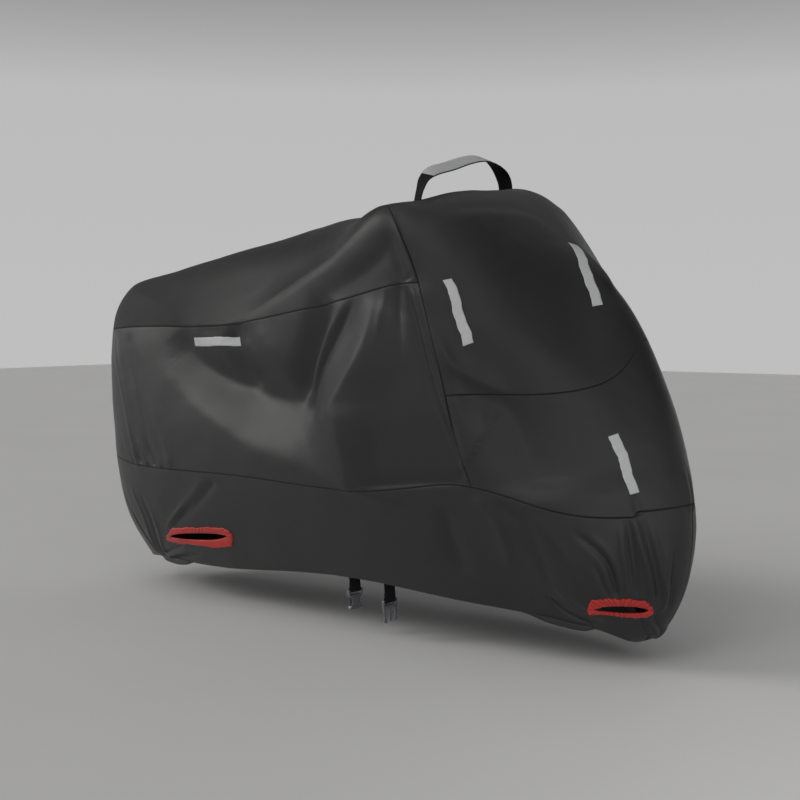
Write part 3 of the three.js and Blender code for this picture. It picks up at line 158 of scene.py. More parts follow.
    dict(at="hem crease before the front hole", kind="round", line=[(1801, 181), (1856, 137), (1960, 109)], over=(14, 14), under=(8, 8), tip=3, rise=(-6.0, -10.5, -7.5), ends=(0.1, 0.1), side=0),
    dict(at="light above the hem crease", kind="round", line=[(1849, 208), (1916, 168), (2026, 136)], over=(14, 14), under=(10, 10), tip=5, rise=(4.5, 9.0, 4.5), ends=(0.1, 0.1), side=0),
]

# Panels: what part of the net they cover, the painted shade that darkens the whole tail panel and upper front panel,
# and the size of the flat cut.
PANELS = [
    dict(name="tail_panel", painted_shading=0.80, sides=(-1, 1), round=(0, 7), up=(4, 7), joined=("tail", "spine"), flat=(1.62, .98), area=1.108),
    dict(name="side_panel_right", painted_shading=1.00, sides=(-1,), round=(0, 7), up=(2, 4), joined=(), flat=(1.75, .58), area=.770),
    dict(name="side_panel_left", painted_shading=1.00, sides=(1,), round=(0, 7), up=(2, 4), joined=(), flat=(1.75, .64), area=.833),
    dict(name="front_panel_upper", painted_shading=0.92, sides=(-1, 1), round=(7, 10), up=(3, 7), joined=("nose", "spine"), flat=(1.20, .80), area=.655),
    dict(name="front_panel_lower", painted_shading=1.00, sides=(-1, 1), round=(7, 10), up=(2, 3), joined=("nose",), flat=(1.20, .45), area=.393),
    dict(name="skirt_right", painted_shading=1.00, sides=(-1,), round=(0, 10), up=(0, 2), joined=(), flat=(2.34, .40), area=.700),
    dict(name="skirt_left", painted_shading=1.00, sides=(1,), round=(0, 10), up=(0, 2), joined=(), flat=(2.34, .40), area=.705),
]

# Lock holes: ends of the middle line, and the two edges of the gathered binding round it, in mm
# along that line and square to it, seen from outside with the nose end at the right.
HOLES = [
    dict(at="rear", ends=((2.405, .585), (3.415, .693)), rows=[
        dict(out=(-164, -2), slit=(-130, 6)), dict(out=(-122, 26), slit=(-99, 13)), dict(out=(-83, 37), slit=(-52, 18)), dict(out=(27, 40), slit=(17, 20)),
        dict(out=(123, 39), slit=(83, 19)), dict(out=(156, 29), slit=(116, 16)), dict(out=(171, 13), slit=(145, 10)), dict(out=(160, -15), slit=(125, 4)),
        dict(out=(134, -28), slit=(96, 0)), dict(out=(102, -30), slit=(69, -2)), dict(out=(51, -28), slit=(30, -2)), dict(out=(-19, -22), slit=(-18, -2)),
        dict(out=(-112, -20), slit=(-69, -1)), dict(out=(-155, -15), slit=(-114, 1))]),
    dict(at="front", ends=((8.215, .685), (9.27, 1.03)), rows=[
        dict(out=(-83, 0), slit=(-66, 1)), dict(out=(-73, 20), slit=(-52, 6)), dict(out=(-59, 32), slit=(-35, 11)), dict(out=(-8, 32), slit=(-5, 12)),
        dict(out=(46, 24), slit=(29, 10)), dict(out=(66, 17), slit=(51, 7)), dict(out=(83, 3), slit=(71, 2)), dict(out=(83, -10), slit=(62, -4)),
        dict(out=(68, -19), slit=(49, -6)), dict(out=(45, -21), slit=(31, -8)), dict(out=(22, -22), slit=(13, -8)), dict(out=(-19, -18), slit=(-14, -7)),
        dict(out=(-52, -14), slit=(-35, -5)), dict(out=(-78, -13), slit=(-55, -3))]),
]
BINDING = dict(high=.0044, low=.0030, step=.0019, across=16, gather=.0115)

# Reflective strips: the two ends of the middle line, and their way of waving. The left strip of the
# upper front sits close to the nose, because the front is turned; its places are on the right side.
STRIPS = [
    dict(at="rear", ends=((3.1, 3.78), (3.8, 3.78)), wave=.5, turn=0.4),
    dict(at="front_upper", ends=((7.46, 4.06), (7.44, 3.47)), wave=2.1, turn=1.0, left=((10.02, 4.035), (9.38, 3.475))),
    dict(at="front_lower", ends=((8.75, 2.62), (8.84, 2.18)), wave=1.9, turn=2.6),
]
STRIP = dict(wide=.026, thick=.0007, lift=.0008)

# Carrying strap, foot to foot: middle of the strap and the direction of its width; mm
STRAP_LINE = [
    dict(at="near foot", p=(345, -255, 1202), wide=(.85, -.52, 0)),
    dict(at="near leg", p=(345, -243, 1226), wide=(.9, -.43, -.05)),
    dict(at="near shoulder", p=(345, -222, 1258), wide=(.93, -.25, -.28)),
    dict(at="near rise", p=(345, -180, 1283), wide=(.83, 0, -.55)),
    dict(at="near span", p=(345, -105, 1303), wide=(.8, 0, -.6)),
    dict(at="middle", p=(345, -25, 1326), wide=(.83, 0, -.56)),
    dict(at="far span", p=(345, 45, 1339), wide=(.88, .05, -.47)),
    dict(at="far rise", p=(345, 105, 1336), wide=(.92, .2, -.33)),
    dict(at="far shoulder", p=(345, 152, 1318), wide=(.88, .42, -.2)),
    dict(at="far leg", p=(345, 182, 1292), wide=(.83, .55, -.05)),
    dict(at="far foot", p=(345, 197, 1262), wide=(.807, .59, 0)),
]
STRAP = dict(wide=.040, thick=.0024)
STRAP_TAPE = dict(wide=.036, thick=.0009, start=.16, end=.74)

# Webbing tails: where they leave the hem, how far they hang below it, and the slope of the clip.
TAILS = [
    dict(at="socket", section=4.94, x=107, y=-225, hem=160, bar=120, slope=.06),
    dict(at="pronged", section=5.4, x=230, y=-225, hem=157, bar=106, slope=.06),
]
TAIL_ACROSS = (.244, .97, 0)
WEB = dict(wide=.038, thick=.002, wrap=.0044)

# ------------------------------------------------------------------ the smooth surface
NET = np.array([[s[k] for k in LEVELS] for s in SECTIONS], float) / 1000.0
FLIP = np.array([1.0, -1.0, 1.0])
EXT = np.zeros((NU + 3, NV + 3, 3))
EXT[1:-1, 1:-1] = NET
EXT[1:-1, 0] = 2 * NET[:, 0] - NET[:, 1]
EXT[1:-1, -1] = NET[:, -2] * FLIP
EXT[0] = EXT[2] * FLIP
EXT[-1] = EXT[-3] * FLIP


def weights(t):
    r = 1 - t
    return np.stack([r ** 3, 3 * t ** 3 - 6 * t ** 2 + 4, 3 * t + 3 * t ** 2 - 3 * t ** 3 + 1, t ** 3], -1) / 6


def smooth(a, b, t):
    s = np.clip((np.asarray(t, float) - a) / (b - a), 0, 1)
    return s * s * (3 - 2 * s)


def over_edge(u, v, side):
    """Past the middle lines the other half continues the surface."""
    u, v, side = (np.array(x, float) for x in np.broadcast_arrays(u, v, side))
    for m, n in ((u < 0, 0), (u > NU, 2 * NU)):
        u = np.where(m, n - u, u)
        side = np.where(m, -side, side)
    m = v > NV
    v = np.where(m, 2 * NV - v, v)
    side = np.where(m, -side, side)
    return u, v, side


def base(u, v, side):
    u, v, side = over_edge(u, v, side)
    i = np.clip(np.floor(u).astype(int), 0, NU - 1)
    j = np.clip(np.floor(v).astype(int), 0, NV - 1)
    wu, wv = weights(u - i), weights(v - j)
    p = np.zeros(u.shape + (3,))
    for a in range(4):
        for b in range(4):
            p += (wu[..., a] * wv[..., b])[..., None] * EXT[i + a, j + b]
    x, y, z = p[..., 0], side * p[..., 1], p[..., 2]
    lean = LEAN * smooth(.40, .95, z) + LEAN_CROWN * smooth(.85, 1.35, z)
    front = smooth(-.25, .45, x)
    ahead = 0.9 * smooth(0, 1, (x - .35) / .9)
    return np.stack([x + TURN * front * y * smooth(.15, .6, z), y - TURN * ahead * .55, z + lean * front * y], -1)


def unit(a):
    return a / (np.linalg.norm(a, axis=-1, keepdims=True) + 1e-15)


STEP = 0.02


def normals(f, u, v, side):
    u, v, side = (np.asarray(x, float) for x in np.broadcast_arrays(u, v, side))

    def at(uu, vv, ss):
        du = f(uu + STEP, vv, ss) - f(uu - STEP, vv, ss)
        dv = f(uu, vv + STEP, ss) - f(uu, vv - STEP, ss)
        return np.cross(du, dv) * -ss[..., None]

    n = at(u, v, side)
    flat = np.linalg.norm(n, axis=-1) < 4e-6
    if flat.any():
        iu = np.where(u > NU / 2, u - .15, u + .15)
        one = np.ones_like(u)
        n = np.where(flat[..., None], unit(at(iu, v - .15, -one)) + unit(at(iu, v - .15, one)), n)
    return unit(n)


RUNS = np.array([s["run"] for s in SECTIONS], float)
RUNS = np.concatenate([[-RUNS[1]], RUNS, [2 * RUNS[-1] - RUNS[-2]]])


def run_of(u):
    u = np.asarray(u, float)
    i = np.clip(np.floor(u).astype(int), 0, NU - 1)
    t = u - i
    p, q, r, s = RUNS[i], RUNS[i + 1], RUNS[i + 2], RUNS[i + 3]
    return q + .5 * t * (r - p + t * (2 * p - 5 * q + 4 * r - s + t * (3 * (q - r) + s - p)))


def through(P, n=8, closed=False):
    """A smooth line through places, n steps from each to the next."""
    P = np.array(P, float)
    if closed:
        Q = np.concatenate([P[-1:], P, P[:2]])
    elif len(P) == 2:
        return P[0] + (P[1] - P[0]) * np.linspace(0, 1, n + 1)[:, None]
    else:
        Q = np.concatenate([2 * P[:1] - P[1:2], P, 2 * P[-1:] - P[-2:-1]])
    out = []
    for k in range(len(Q) - 3):
        t = (np.arange(n) / n)[:, None]
        a, b, c, d = Q[k:k + 4]
        out.append(b + .5 * t * (c - a + t * (2 * a - 5 * b + 4 * c - d + t * (3 * (b - c) + d - a))))
    if not closed:
        out.append(P[-1:])
    return np.concatenate(out)


def fold_field(s, z, rows, side):
    """Height of the folds at places (s, z) in mm; side is -1 on the right and +1 on the left."""
    out = np.zeros_like(s)
    for f in rows:
        if f.get("side", 0) not in (0, side):
            continue
        L = through(f["line"], 7)
        lo, hi = L.min(0), L.max(0)
        reach = 2.6 * max(max(f["over"]), max(f["under"])) + f["tip"]
        near = (s > lo[0] - reach) & (s < hi[0] + reach) & (z > lo[1] - reach) & (z < hi[1] + reach)
        if not near.any():
            continue
        q = np.stack([s[near], z[near]], -1)
        best = np.full(len(q), 1e9)
        off = np.zeros(len(q))
        along = np.zeros(len(q))
        seg = np.diff(L, axis=0)
        length = np.linalg.norm(seg, axis=1)
        total = length.sum()
        start = np.concatenate([[0], np.cumsum(length)])
        up = 1.0 if (L[-1, 0] - L[0, 0]) >= 0 else -1.0
        last = len(seg) - 1
        for k in range(len(seg)):
            w = q - L[k]
            t = (w @ seg[k]) / length[k] ** 2
            tc = np.clip(t, 0, 1)
            e = w - tc[:, None] * seg[k]
            d = np.hypot(e[:, 0], e[:, 1])
            cross = (seg[k, 0] * w[:, 1] - seg[k, 1] * w[:, 0]) * up
            m = d < best
            ta = t if k in (0, last) else tc
            if k == 0 and last > 0:
                ta = np.minimum(t, 1)
            if k == last and last > 0:
                ta = np.maximum(t, 0)
            end = ((k == 0) & (t < 0)) | ((k == last) & (t > 1))
            best = np.where(m, d, best)
            off = np.where(m, np.where(end, cross / length[k], np.sign(cross) * d), off)
            along = np.where(m, (start[k] + ta * length[k]) / total, along)
        t = np.clip(along, 0, 1)
        wide = np.where(off > 0, f["over"][0] + (f["over"][1] - f["over"][0]) * t, f["under"][0] + (f["under"][1] - f["under"][0]) * t)
        tip = f["tip"]
        near_line = np.sqrt(off ** 2 + tip ** 2) - tip
        body = np.exp(-near_line / (wide * .62)) * np.exp(-(np.abs(off) / (wide * 1.9)) ** 3)
        if f["kind"].startswith("facet"):     # two even slopes that meet at the line, or one over it
            r = 1 - near_line / wide
            even = (r + np.sqrt(r ** 2 + .08)) / (1 + math.sqrt(1.08)) * (1 - smooth(1.3, 2.2, near_line / wide))
            body = np.where(off > 0, even, body) if f["kind"] == "facet over" else even
        r0, r1, r2 = f["rise"]
        rise = r0 * (1 - t) * (1 - 2 * t) + r1 * 4 * t * (1 - t) + r2 * t * (2 * t - 1)
        e0, e1 = f["ends"]
        fade = smooth(-e0, e0, along) * (1 - smooth(1 - e1, 1 + e1, along))
        out[near] += rise * body * fade
    return out


def waves(s, z, seed, wave, high):
    """Soft unevenness: a few crossed slow waves, the same for the same seed."""
    rng = np.random.default_rng(seed)
    out = np.zeros_like(s)
    for _ in range(7):
        a = rng.uniform(0, 2 * math.pi)
        k = 2 * math.pi / (wave * rng.uniform(.7, 1.6))
        out += np.sin(k * (s * math.cos(a) + z * math.sin(a)) + rng.uniform(0, 6.28))
    return out * high / 2.6


def lift(u, v, side):
    """How far the cloth stands off the smooth surface, in metres. The left side has the right's
    folds in places of its own, because cloth isn't the same twice."""
    uu, vv, ss = over_edge(u, v, side)
    s, z = run_of(uu), base(uu, vv, -np.ones_like(uu))[..., 2] * 1000
    left = ss > 0
    d = fold_field(s.ravel(), z.ravel(), FOLDS, -1).reshape(s.shape)
    if left.any():
        s2 = s + 26 * np.sin(z / 115 + 1) + 14 * np.sin(s / 170)
        z2 = z + 16 * np.sin(s / 140 + .6)
        e = .82 * fold_field(s2.ravel(), z2.ravel(), FOLDS, 1).reshape(s.shape)
        # the two sides meet over the middle lines
        mid = np.minimum(np.minimum(s / 120, (RUNS[-2] - s) / 120), np.maximum(0, (NV - vv) / .8))
        w = np.clip(mid, 0, 1)
        w = w * w * (3 - 2 * w)
        d = np.where(left, d * (1 - w) + e * w, d)
    d = d + waves(s, z, 5, 190, .7) + waves(s, z, 6, 62, .16)
    return d / 1000.0


def painted_slope_shading(u, v, side):
    """Painted light and shade: slopes of the folds that face up are painted a little paler, those that face down
    darker.
    """
    d = .06
    rise = lift(u, v + d, side) - lift(u, v - d, side)
    run = np.linalg.norm(base(u, v + d, side) - base(u, v - d, side), axis=-1)
    return 1 - .36 * np.tanh(rise / np.maximum(run, 1e-4) / .26)


def skin(u, v, side):
    return base(u, v, side) + normals(base, u, v, side) * lift(u, v, side)[..., None]


def table(rows, t):
    a = np.array(rows, float)
    return np.interp(t, a[:, 0], a[:, 1])


def warp(u, v):
    """The lines of the net moved to where the seams are."""
    near = lambda t: np.clip(1 - np.abs(t) / .5, 0, 1) ** 2 * (3 - 2 * np.clip(1 - np.abs(t) / .5, 0, 1))
    du = np.zeros_like(u)
    dv = np.zeros_like(v)
    for f in SEAM_SHIFTS.values():
        if "level" in f:
            lo, hi = f["rows"][0][0], f["rows"][-1][0]
            dv = dv + table(f["rows"], u) * near(v - f["level"]) * (u >= lo - 1e-9) * (u <= hi + 1e-9)
        else:
            lo, hi = f["rows"][0][0], f["rows"][-1][0]
            du = du + table(f["rows"], v) * near(u - f["section"]) * (v >= lo - 1e-9)
    return u + du, v + dv


# ------------------------------------------------------------------ scene helpers
def to_frame(p):
    return np.asarray(p, float) - np.array(HANG)


def new_object(name, verts, faces, material=None, shade=True):
    """A mesh from points over the floor and faces of one size or of several."""
    verts = to_frame(verts)
    me = bpy.data.meshes.new(name)
    groups = faces if isinstance(faces, list) else [faces]
    groups = [np.asarray(g, int) for g in groups if len(g)]
    loops = np.concatenate([g.ravel() for g in groups])
    sizes = np.concatenate([np.full(len(g), g.shape[1]) for g in groups])
    me.vertices.add(len(verts))
    me.vertices.foreach_set("co", verts.astype(np.float32).ravel())
    me.loops.add(len(loops))
    me.loops.foreach_set("vertex_index", loops.astype(np.int32))
    me.polygons.add(len(sizes))
    me.polygons.foreach_set("loop_start", np.concatenate([[0], np.cumsum(sizes)[:-1]]).astype(np.int32))
    me.polygons.foreach_set("loop_total", sizes.astype(np.int32))
    me.polygons.foreach_set("use_smooth", np.full(len(sizes), bool(shade)))
    me.update(calc_edges=True)
    me.validate()
    ob = bpy.data.objects.new(name, me)
    bpy.context.scene.collection.objects.link(ob)
    if material:
        me.materials.append(material)
    return ob


def vertex_normals(verts, faces):
    a, b, c, d = (verts[faces[:, k]] for k in range(4))
    fn = np.cross(c - a, d - b)
    n = np.zeros_like(verts)
    for k in range(4):
        np.add.at(n, faces[:, k], fn)
    return unit(n)


def close_sheet(verts, faces, thick):
    """A sheet of its outer face: adds the inner layer and the rim along the free edges."""
    n = vertex_normals(verts, faces)
    count = len(verts)
    e = np.concatenate([faces[:, [k, (k + 1) % 4]] for k in range(4)])
    code = e[:, 0] * count + e[:, 1]
    back = e[:, 1] * count + e[:, 0]
    free = e[~np.isin(code, back)]
    rim = np.stack([free[:, 1], free[:, 0], free[:, 0] + count, free[:, 1] + count], -1)
    allv = np.concatenate([verts, verts - n * thick])
    return allv, np.concatenate([faces, faces[:, ::-1] + count, rim])


def point_value(ob, name, values):
    at = ob.data.attributes.new(name, "FLOAT", "POINT")
    at.data.foreach_set("value", np.asarray(values, np.float32))


# ------------------------------------------------------------------ camera and light
AZ = math.atan2(.59, .807)
PITCH = math.radians(3.9)
cam = bpy.data.cameras.new("camera")
cam.sensor_width = 36
cam.sensor_fit = "HORIZONTAL"
cam.lens = 1205.0 / 800 * 36
cam.clip_start, cam.clip_end = .05, 80
cam_ob = bpy.data.objects.new("camera", cam)
bpy.context.scene.collection.objects.link(cam_ob)
fwd = Vector((-math.sin(AZ) * math.cos(PITCH), math.cos(AZ) * math.cos(PITCH), -math.sin(PITCH)))
right = Vector((math.cos(AZ), math.sin(AZ), 0))
m = Matrix((right, right.cross(fwd), -fwd)).transposed().to_4x4()
m.translation = Vector(to_frame((2.20, -2.87, .89)))
cam_ob.matrix_world = m
bpy.context.scene.camera = cam_ob
bpy.context.scene.view_settings.view_transform = "Standard"


def far_light(name, azimuth, elevation, angle, strength, colour=(1, 1, 1)):
    """A soft light far off; azimuth 0 shines on the right side, -90 on the tail, 90 on the nose."""
    d = bpy.data.lights.new(name, "SUN")
    d.energy = strength
    d.color = colour
    d.angle = math.radians(angle)
    o = bpy.data.objects.new(name, d)
    bpy.context.scene.collection.objects.link(o)
    a, e = math.radians(azimuth), math.radians(elevation)
    to_light = Vector((math.sin(a) * math.cos(e), -math.cos(a) * math.cos(e), math.sin(e)))
    o.matrix_world = Matrix.Translation(to_light * 6) @ (-to_light).to_track_quat("-Z", "Y").to_matrix().to_4x4()
    return o


far_light("window light from the left", -57, 26, 20, .84, (1, .99, .97))
far_light("high light from the left", -45, 66, 50, .24)
far_light("front light", -4, 38, 28, .34)
far_light("light over the nose", 40, 50, 50, .22)
far_light("low light before the nose", 34, 12, 30, .11)
far_light("light on the far side", 180, 58, 50, .12)

# a pale card low before the nose
card = bpy.data.lights.new("card before the nose", "AREA")
card.energy, card.shape, card.size, card.size_y = 3, "RECTANGLE", 1.4, .6
card_ob = bpy.data.objects.new("card before the nose", card)
bpy.context.scene.collection.objects.link(card_ob)
card_ob.visible_camera = False
at, aim = Vector(to_frame((2.3, -.9, .62))), Vector(to_frame((1.05, -.05, .34)))
card_ob.matrix_world = Matrix.Translation(at) @ (aim - at).to_track_quat("-Z", "Y").to_matrix().to_4x4()

# soft light from all round, strongest near the horizon
world = bpy.data.worlds.new("studio")
bpy.context.scene.world = world
world.use_nodes = True
wt = world.node_tree
sky = wt.nodes.new("ShaderNodeTexCoord")
part = wt.nodes.new("ShaderNodeSeparateXYZ")
ring = wt.nodes.new("ShaderNodeValToRGB")
els = ring.color_ramp.elements
els[0].position, els[0].color = 0, (.52, .52, .52, 1)
els[1].position, els[1].color = .9, (.15, .15, .15, 1)
for at, c in ((.18, .50), (.36, .05), (.52, .05)):
    e = els.new(at)
    e.color = (c, c, c, 1)
wt.links.new(sky.outputs["Generated"], part.inputs[0])
wt.links.new(part.outputs["Z"], ring.inputs[0])
wt.links.new(ring.outputs[0], wt.nodes["Background"].inputs[0])


# ------------------------------------------------------------------ materials
class Nodes:
    """A material's node tree with short ways to add and join."""

    def __init__(self, name):
        self.mat = bpy.data.materials.new(name)
        self.mat.use_nodes = True
        self.tree = self.mat.node_tree
        self.shader = self.tree.nodes["Principled BSDF"]
        self.coords = self.add("ShaderNodeTexCoord")

    def add(self, kind, **values):
        n = self.tree.nodes.new(kind)
        for k, x in values.items():
            if hasattr(n, k):
                setattr(n, k, x)
            else:
                n.inputs[k.replace("_", " ")].default_value = x
        return n

    def join(self, a, out, b, into):
        self.tree.links.new(a.outputs[out], b.inputs[into])

    def noise(self, scale, detail=3, rough=.55, stretch=None):
        n = self.add("ShaderNodeTexNoise", Scale=scale, Detail=detail, Roughness=rough)
        if stretch:
            m = self.add("ShaderNodeMapping")
            m.inputs["Scale"].default_value = stretch
            self.join(self.coords, "Object", m, "Vector")
            self.join(m, "Vector", n, "Vector")
        else:
            self.join(self.coords, "Object", n, "Vector")
        return n

    def between(self, source, out, a, b):
        m = self.add("ShaderNodeMixRGB")
        self.join(source, out, m, 0)
        m.inputs[1].default_value = (*a, 1)
        m.inputs[2].default_value = (*b, 1)
        return m

    def ramp(self, source, out, stops):
        r = self.add("ShaderNodeValToRGB")
        els = r.color_ramp.elements
        els[0].position, els[0].color = stops[0][0], (*[stops[0][1]] * 3, 1)
        els[1].position, els[1].color = stops[-1][0], (*[stops[-1][1]] * 3, 1)
        for p, c in stops[1:-1]:
            e = els.new(p)
            e.color = (c, c, c, 1)
        self.join(source, out, r, 0)
        return r

    def multiply(self, a, b, share=1.0):
        m = self.add("ShaderNodeMixRGB", blend_type="MULTIPLY")
        m.inputs[0].default_value = share
        self.join(a, 0, m, 1)
        self.join(b, 0, m, 2)
        return m

    def bump(self, parts, distance, strength=1.0):
        """Bumps stacked on one another: parts are (node, output, share)."""
        last = None
        for node, out, share in parts:
            b = self.add("ShaderNodeBump")
            b.inputs["Strength"].default_value = share * strength
            b.inputs["Distance"].default_value = distance
            self.join(node, out, b, "Height")
            if last:
                self.join(last, 0, b, "Normal")
            last = b
        self.join(last, 0, self.shader, "Normal")

    def set(self, **values):
        for k, x in values.items():
            self.shader.inputs[k.replace("_", " ")].default_value = x


def cloth_material():
    """Coated polyester: charcoal, a satin sheen, a fine weave, slight mottling, rubbed places, and painted light and
    shade scaling its colour.
    """
    n = Nodes("coated_cloth")
    tint = (.0100, .0103, .0107)
    big = n.noise(5.5, 4)
    mid = n.noise(34, 4, .6)
    fine = n.noise(900, 2)
    colour = n.between(big, "Fac", [c * .88 for c in tint], [c * 1.14 for c in tint])
    colour = n.multiply(colour, n.ramp(mid, "Fac", [(.3, .86), (.7, 1.0)]), .7)
    colour = n.multiply(colour, n.ramp(fine, "Fac", [(.32, .72), (.62, 1.0)]), .5)
    # painted light and shade: the colour is scaled per point by the painted shading made with the panels
    painted_shading = n.add("ShaderNodeAttribute", attribute_name="painted_shading")
    painted_shaded_colour = n.add("ShaderNodeVectorMath", operation="SCALE")
    n.join(colour, 0, painted_shaded_colour, 0)
    n.tree.links.new(painted_shading.outputs["Fac"], painted_shaded_colour.inputs["Scale"])
    colour = painted_shaded_colour
    seam = n.add("ShaderNodeAttribute", attribute_name="seam")
    dark = n.add("ShaderNodeMixRGB")
    dark.inputs[2].default_value = (.0012, .0012, .0012, 1)
    n.join(seam, "Fac", dark, 0)
    n.join(colour, 0, dark, 1)
    n.join(dark, 0, n.shader, "Base Color")
    rough = n.add("ShaderNodeMapRange")
    rough.inputs["To Min"].default_value = .38
    rough.inputs["To Max"].default_value = .47
    n.join(big, "Fac", rough, "Value")
    matt = n.add("ShaderNodeMixRGB")
    matt.inputs[2].default_value = (.95, .95, .95, 1)
    n.join(seam, "Fac", matt, 0)
    wear_and_shade = n.add("ShaderNodeAttribute", attribute_name="wear_and_shade")
    duller = n.add("ShaderNodeMath", operation="MULTIPLY_ADD")
    duller.inputs[1].default_value = .30
    n.join(wear_and_shade, "Fac", duller, 0)
    n.join(rough, 0, duller, 2)
    n.join(duller, 0, matt, 1)
    n.join(matt, 0, n.shader, "Roughness")
    n.set(Sheen_Weight=.06, Sheen_Roughness=.5, Specular_IOR_Level=.56)
    w1 = n.add("ShaderNodeTexWave", Scale=330, Distortion=.6, bands_direction="Z")
    n.join(n.coords, "Object", w1, "Vector")
    w2 = n.add("ShaderNodeTexWave", Scale=330, Distortion=.6, bands_direction="X")
    n.join(n.coords, "Object", w2, "Vector")
    n.bump([(mid, "Fac", .55), (fine, "Fac", .35), (w1, "Fac", .12), (w2, "Fac", .12)], .0006)
    return n.mat


def binding_material():
    n = Nodes("gathered_binding")
    mid = n.noise(110, 3)
    fine = n.noise(1100, 2)
    colour = n.between(mid, "Fac", (.44, .007, .004), (.68, .020, .011))
    # painted shade: the colour darkens in the dips of the gathers
    crease = n.add("ShaderNodeAttribute", attribute_name="crease")
    colour = n.multiply(colour, n.ramp(crease, "Fac", [(0, 1.0), (1, .20)]), 1)
    n.join(colour, 0, n.shader, "Base Color")
    n.set(Roughness=.40, Sheen_Weight=.15, Specular_IOR_Level=.5)
    n.bump([(mid, "Fac", .6), (fine, "Fac", .4)], .0006)
    return n.mat


def tape_material():
    n = Nodes("reflective_tape")
    mid = n.noise(26, 4, .6)
    bead = n.add("ShaderNodeTexVoronoi", Scale=1400)
    n.join(n.coords, "Object", bead, "Vector")
    colour = n.between(mid, "Fac", (.54, .545, .55), (.70, .705, .71))
    colour = n.multiply(colour, n.ramp(bead, "Distance", [(.0, 1.0), (.8, .86)]), 1)
    edge = n.add("ShaderNodeAttribute", attribute_name="edge")
    colour = n.multiply(colour, n.ramp(edge, "Fac", [(0, 1.0), (1, .26)]), 1)
    n.join(colour, 0, n.shader, "Base Color")
    rough = n.add("ShaderNodeMapRange")
    rough.inputs["To Min"].default_value = .34
    rough.inputs["To Max"].default_value = .5
    n.join(mid, "Fac", rough, "Value")
    n.join(rough, 0, n.shader, "Roughness")
    n.set(Metallic=0.0)
    n.bump([(mid, "Fac", .7), (bead, "Distance", .15)], .0006)
    return n.mat


def webbing_material():
    n = Nodes("black_webbing")
    mid = n.noise(60, 3)
    rib = n.add("ShaderNodeAttribute", attribute_name="rib")
    colour = n.between(mid, "Fac", (.0040, .0040, .0043), (.0085, .0085, .0089))
    n.join(colour, 0, n.shader, "Base Color")
    n.set(Roughness=.78, Specular_IOR_Level=.25)
    fine = n.noise(1300, 2)
    n.bump([(mid, "Fac", .3), (fine, "Fac", .8)], .0006)
    return n.mat


def clip_material():
    n = Nodes("moulded_plastic")
    mid = n.noise(70, 3)
    fine = n.noise(1800, 2)
    colour = n.between(mid, "Fac", (.085, .083, .096), (.125, .122, .138))
    n.join(colour, 0, n.shader, "Base Color")
    n.set(Roughness=.24, Specular_IOR_Level=.75, Coat_Weight=.35, Coat_Roughness=.18)
    n.bump([(mid, "Fac", .12), (fine, "Fac", .10)], .0004)
    return n.mat


M_CLOTH, M_BIND, M_TAPE, M_WEB, M_CLIP = cloth_material(), binding_material(), tape_material(), webbing_material(), clip_material()

n = Nodes("pale_floor")
cloud = n.noise(1.2, 3)
n.join(n.between(cloud, "Fac", (.74, .735, .73), (.80, .795, .79)), 0, n.shader, "Base Color")
n.set(Roughness=.6)
M_FLOOR = n.mat
floor = new_object("floor", [(-16, -16, 0), (16, -16, 0), (16, 16, 0), (-16, 16, 0)], np.array([[0, 1, 2, 3]]), M_FLOOR, False)


# ------------------------------------------------------------------ places on the cloth
class Beside:
    """Places in mm along a line drawn on the surface and square to it."""

    def __init__(self, ends, side):
        self.side = float(side)
        (u0, v0), (u1, v1) = ends
        self.mid = np.array([(u0 + u1) / 2, (v0 + v1) / 2])
        s = np.array(self.side)
        du = (base(self.mid[0] + STEP, self.mid[1], s) - base(self.mid[0] - STEP, self.mid[1], s)) / (2 * STEP)
        dv = (base(self.mid[0], self.mid[1] + STEP, s) - base(self.mid[0], self.mid[1] - STEP, s)) / (2 * STEP)
        line = np.array([u1 - u0, v1 - v0])
        e1 = du * line[0] + dv * line[1]
        self.long = np.linalg.norm(e1)
        e1 = e1 / self.long
        up = normals(base, self.mid[0], self.mid[1], s)
        e2 = unit(np.cross(up, e1))
        if e2 @ dv < 0:
            e2 = -e2
        det = (du @ e1) * (dv @ e2) - (dv @ e1) * (du @ e2)
        self.along = line / self.long
        self.square = np.array([-(dv @ e1), du @ e1]) / det
        self.back = np.linalg.inv(np.stack([self.along, self.square], 1))

    def uv(self, a, b):
        """Places a and b in metres."""
        return (self.mid[0] + self.along[0] * a + self.square[0] * b, self.mid[1] + self.along[1] * a + self.square[1] * b)

    def ab(self, u, v):
        d = np.stack([u - self.mid[0], v - self.mid[1]], -1) @ self.back.T
        return d[..., 0], d[..., 1]


def inside(poly, x, y):
    hit = np.zeros(np.shape(x), bool)
    n = len(poly)
    for k in range(n):
        (x0, y0), (x1, y1) = poly[k], poly[(k + 1) % n]
        cut = ((y0 > y) != (y1 > y)) & (x < (x1 - x0) * (y - y0) / (y1 - y0 + 1e-15) + x0)
        hit ^= cut
    return hit


def nearest_on(poly, x, y):
    """Distance to a closed line and the nearest place on it."""
    best = np.full(np.shape(x), 1e9)
    bx, by = np.zeros(np.shape(x)), np.zeros(np.shape(x))
    n = len(poly)
    for k in range(n):
        p, q = poly[k], poly[(k + 1) % n]
        d = q - p
        t = np.clip(((x - p[0]) * d[0] + (y - p[1]) * d[1]) / (d @ d + 1e-18), 0, 1)
        cx, cy = p[0] + t * d[0], p[1] + t * d[1]
        r = np.hypot(x - cx, y - cy)
        m = r < best
        best, bx, by = np.where(m, r, best), np.where(m, cx, bx), np.where(m, cy, by)
    return best, bx, by


def hole_edges(hole):
    n = 12
    outer = through([r["out"] for r in hole["rows"]], n, True) / 1000
    slit = through([r["slit"] for r in hole["rows"]], n, True) / 1000
    return outer, slit


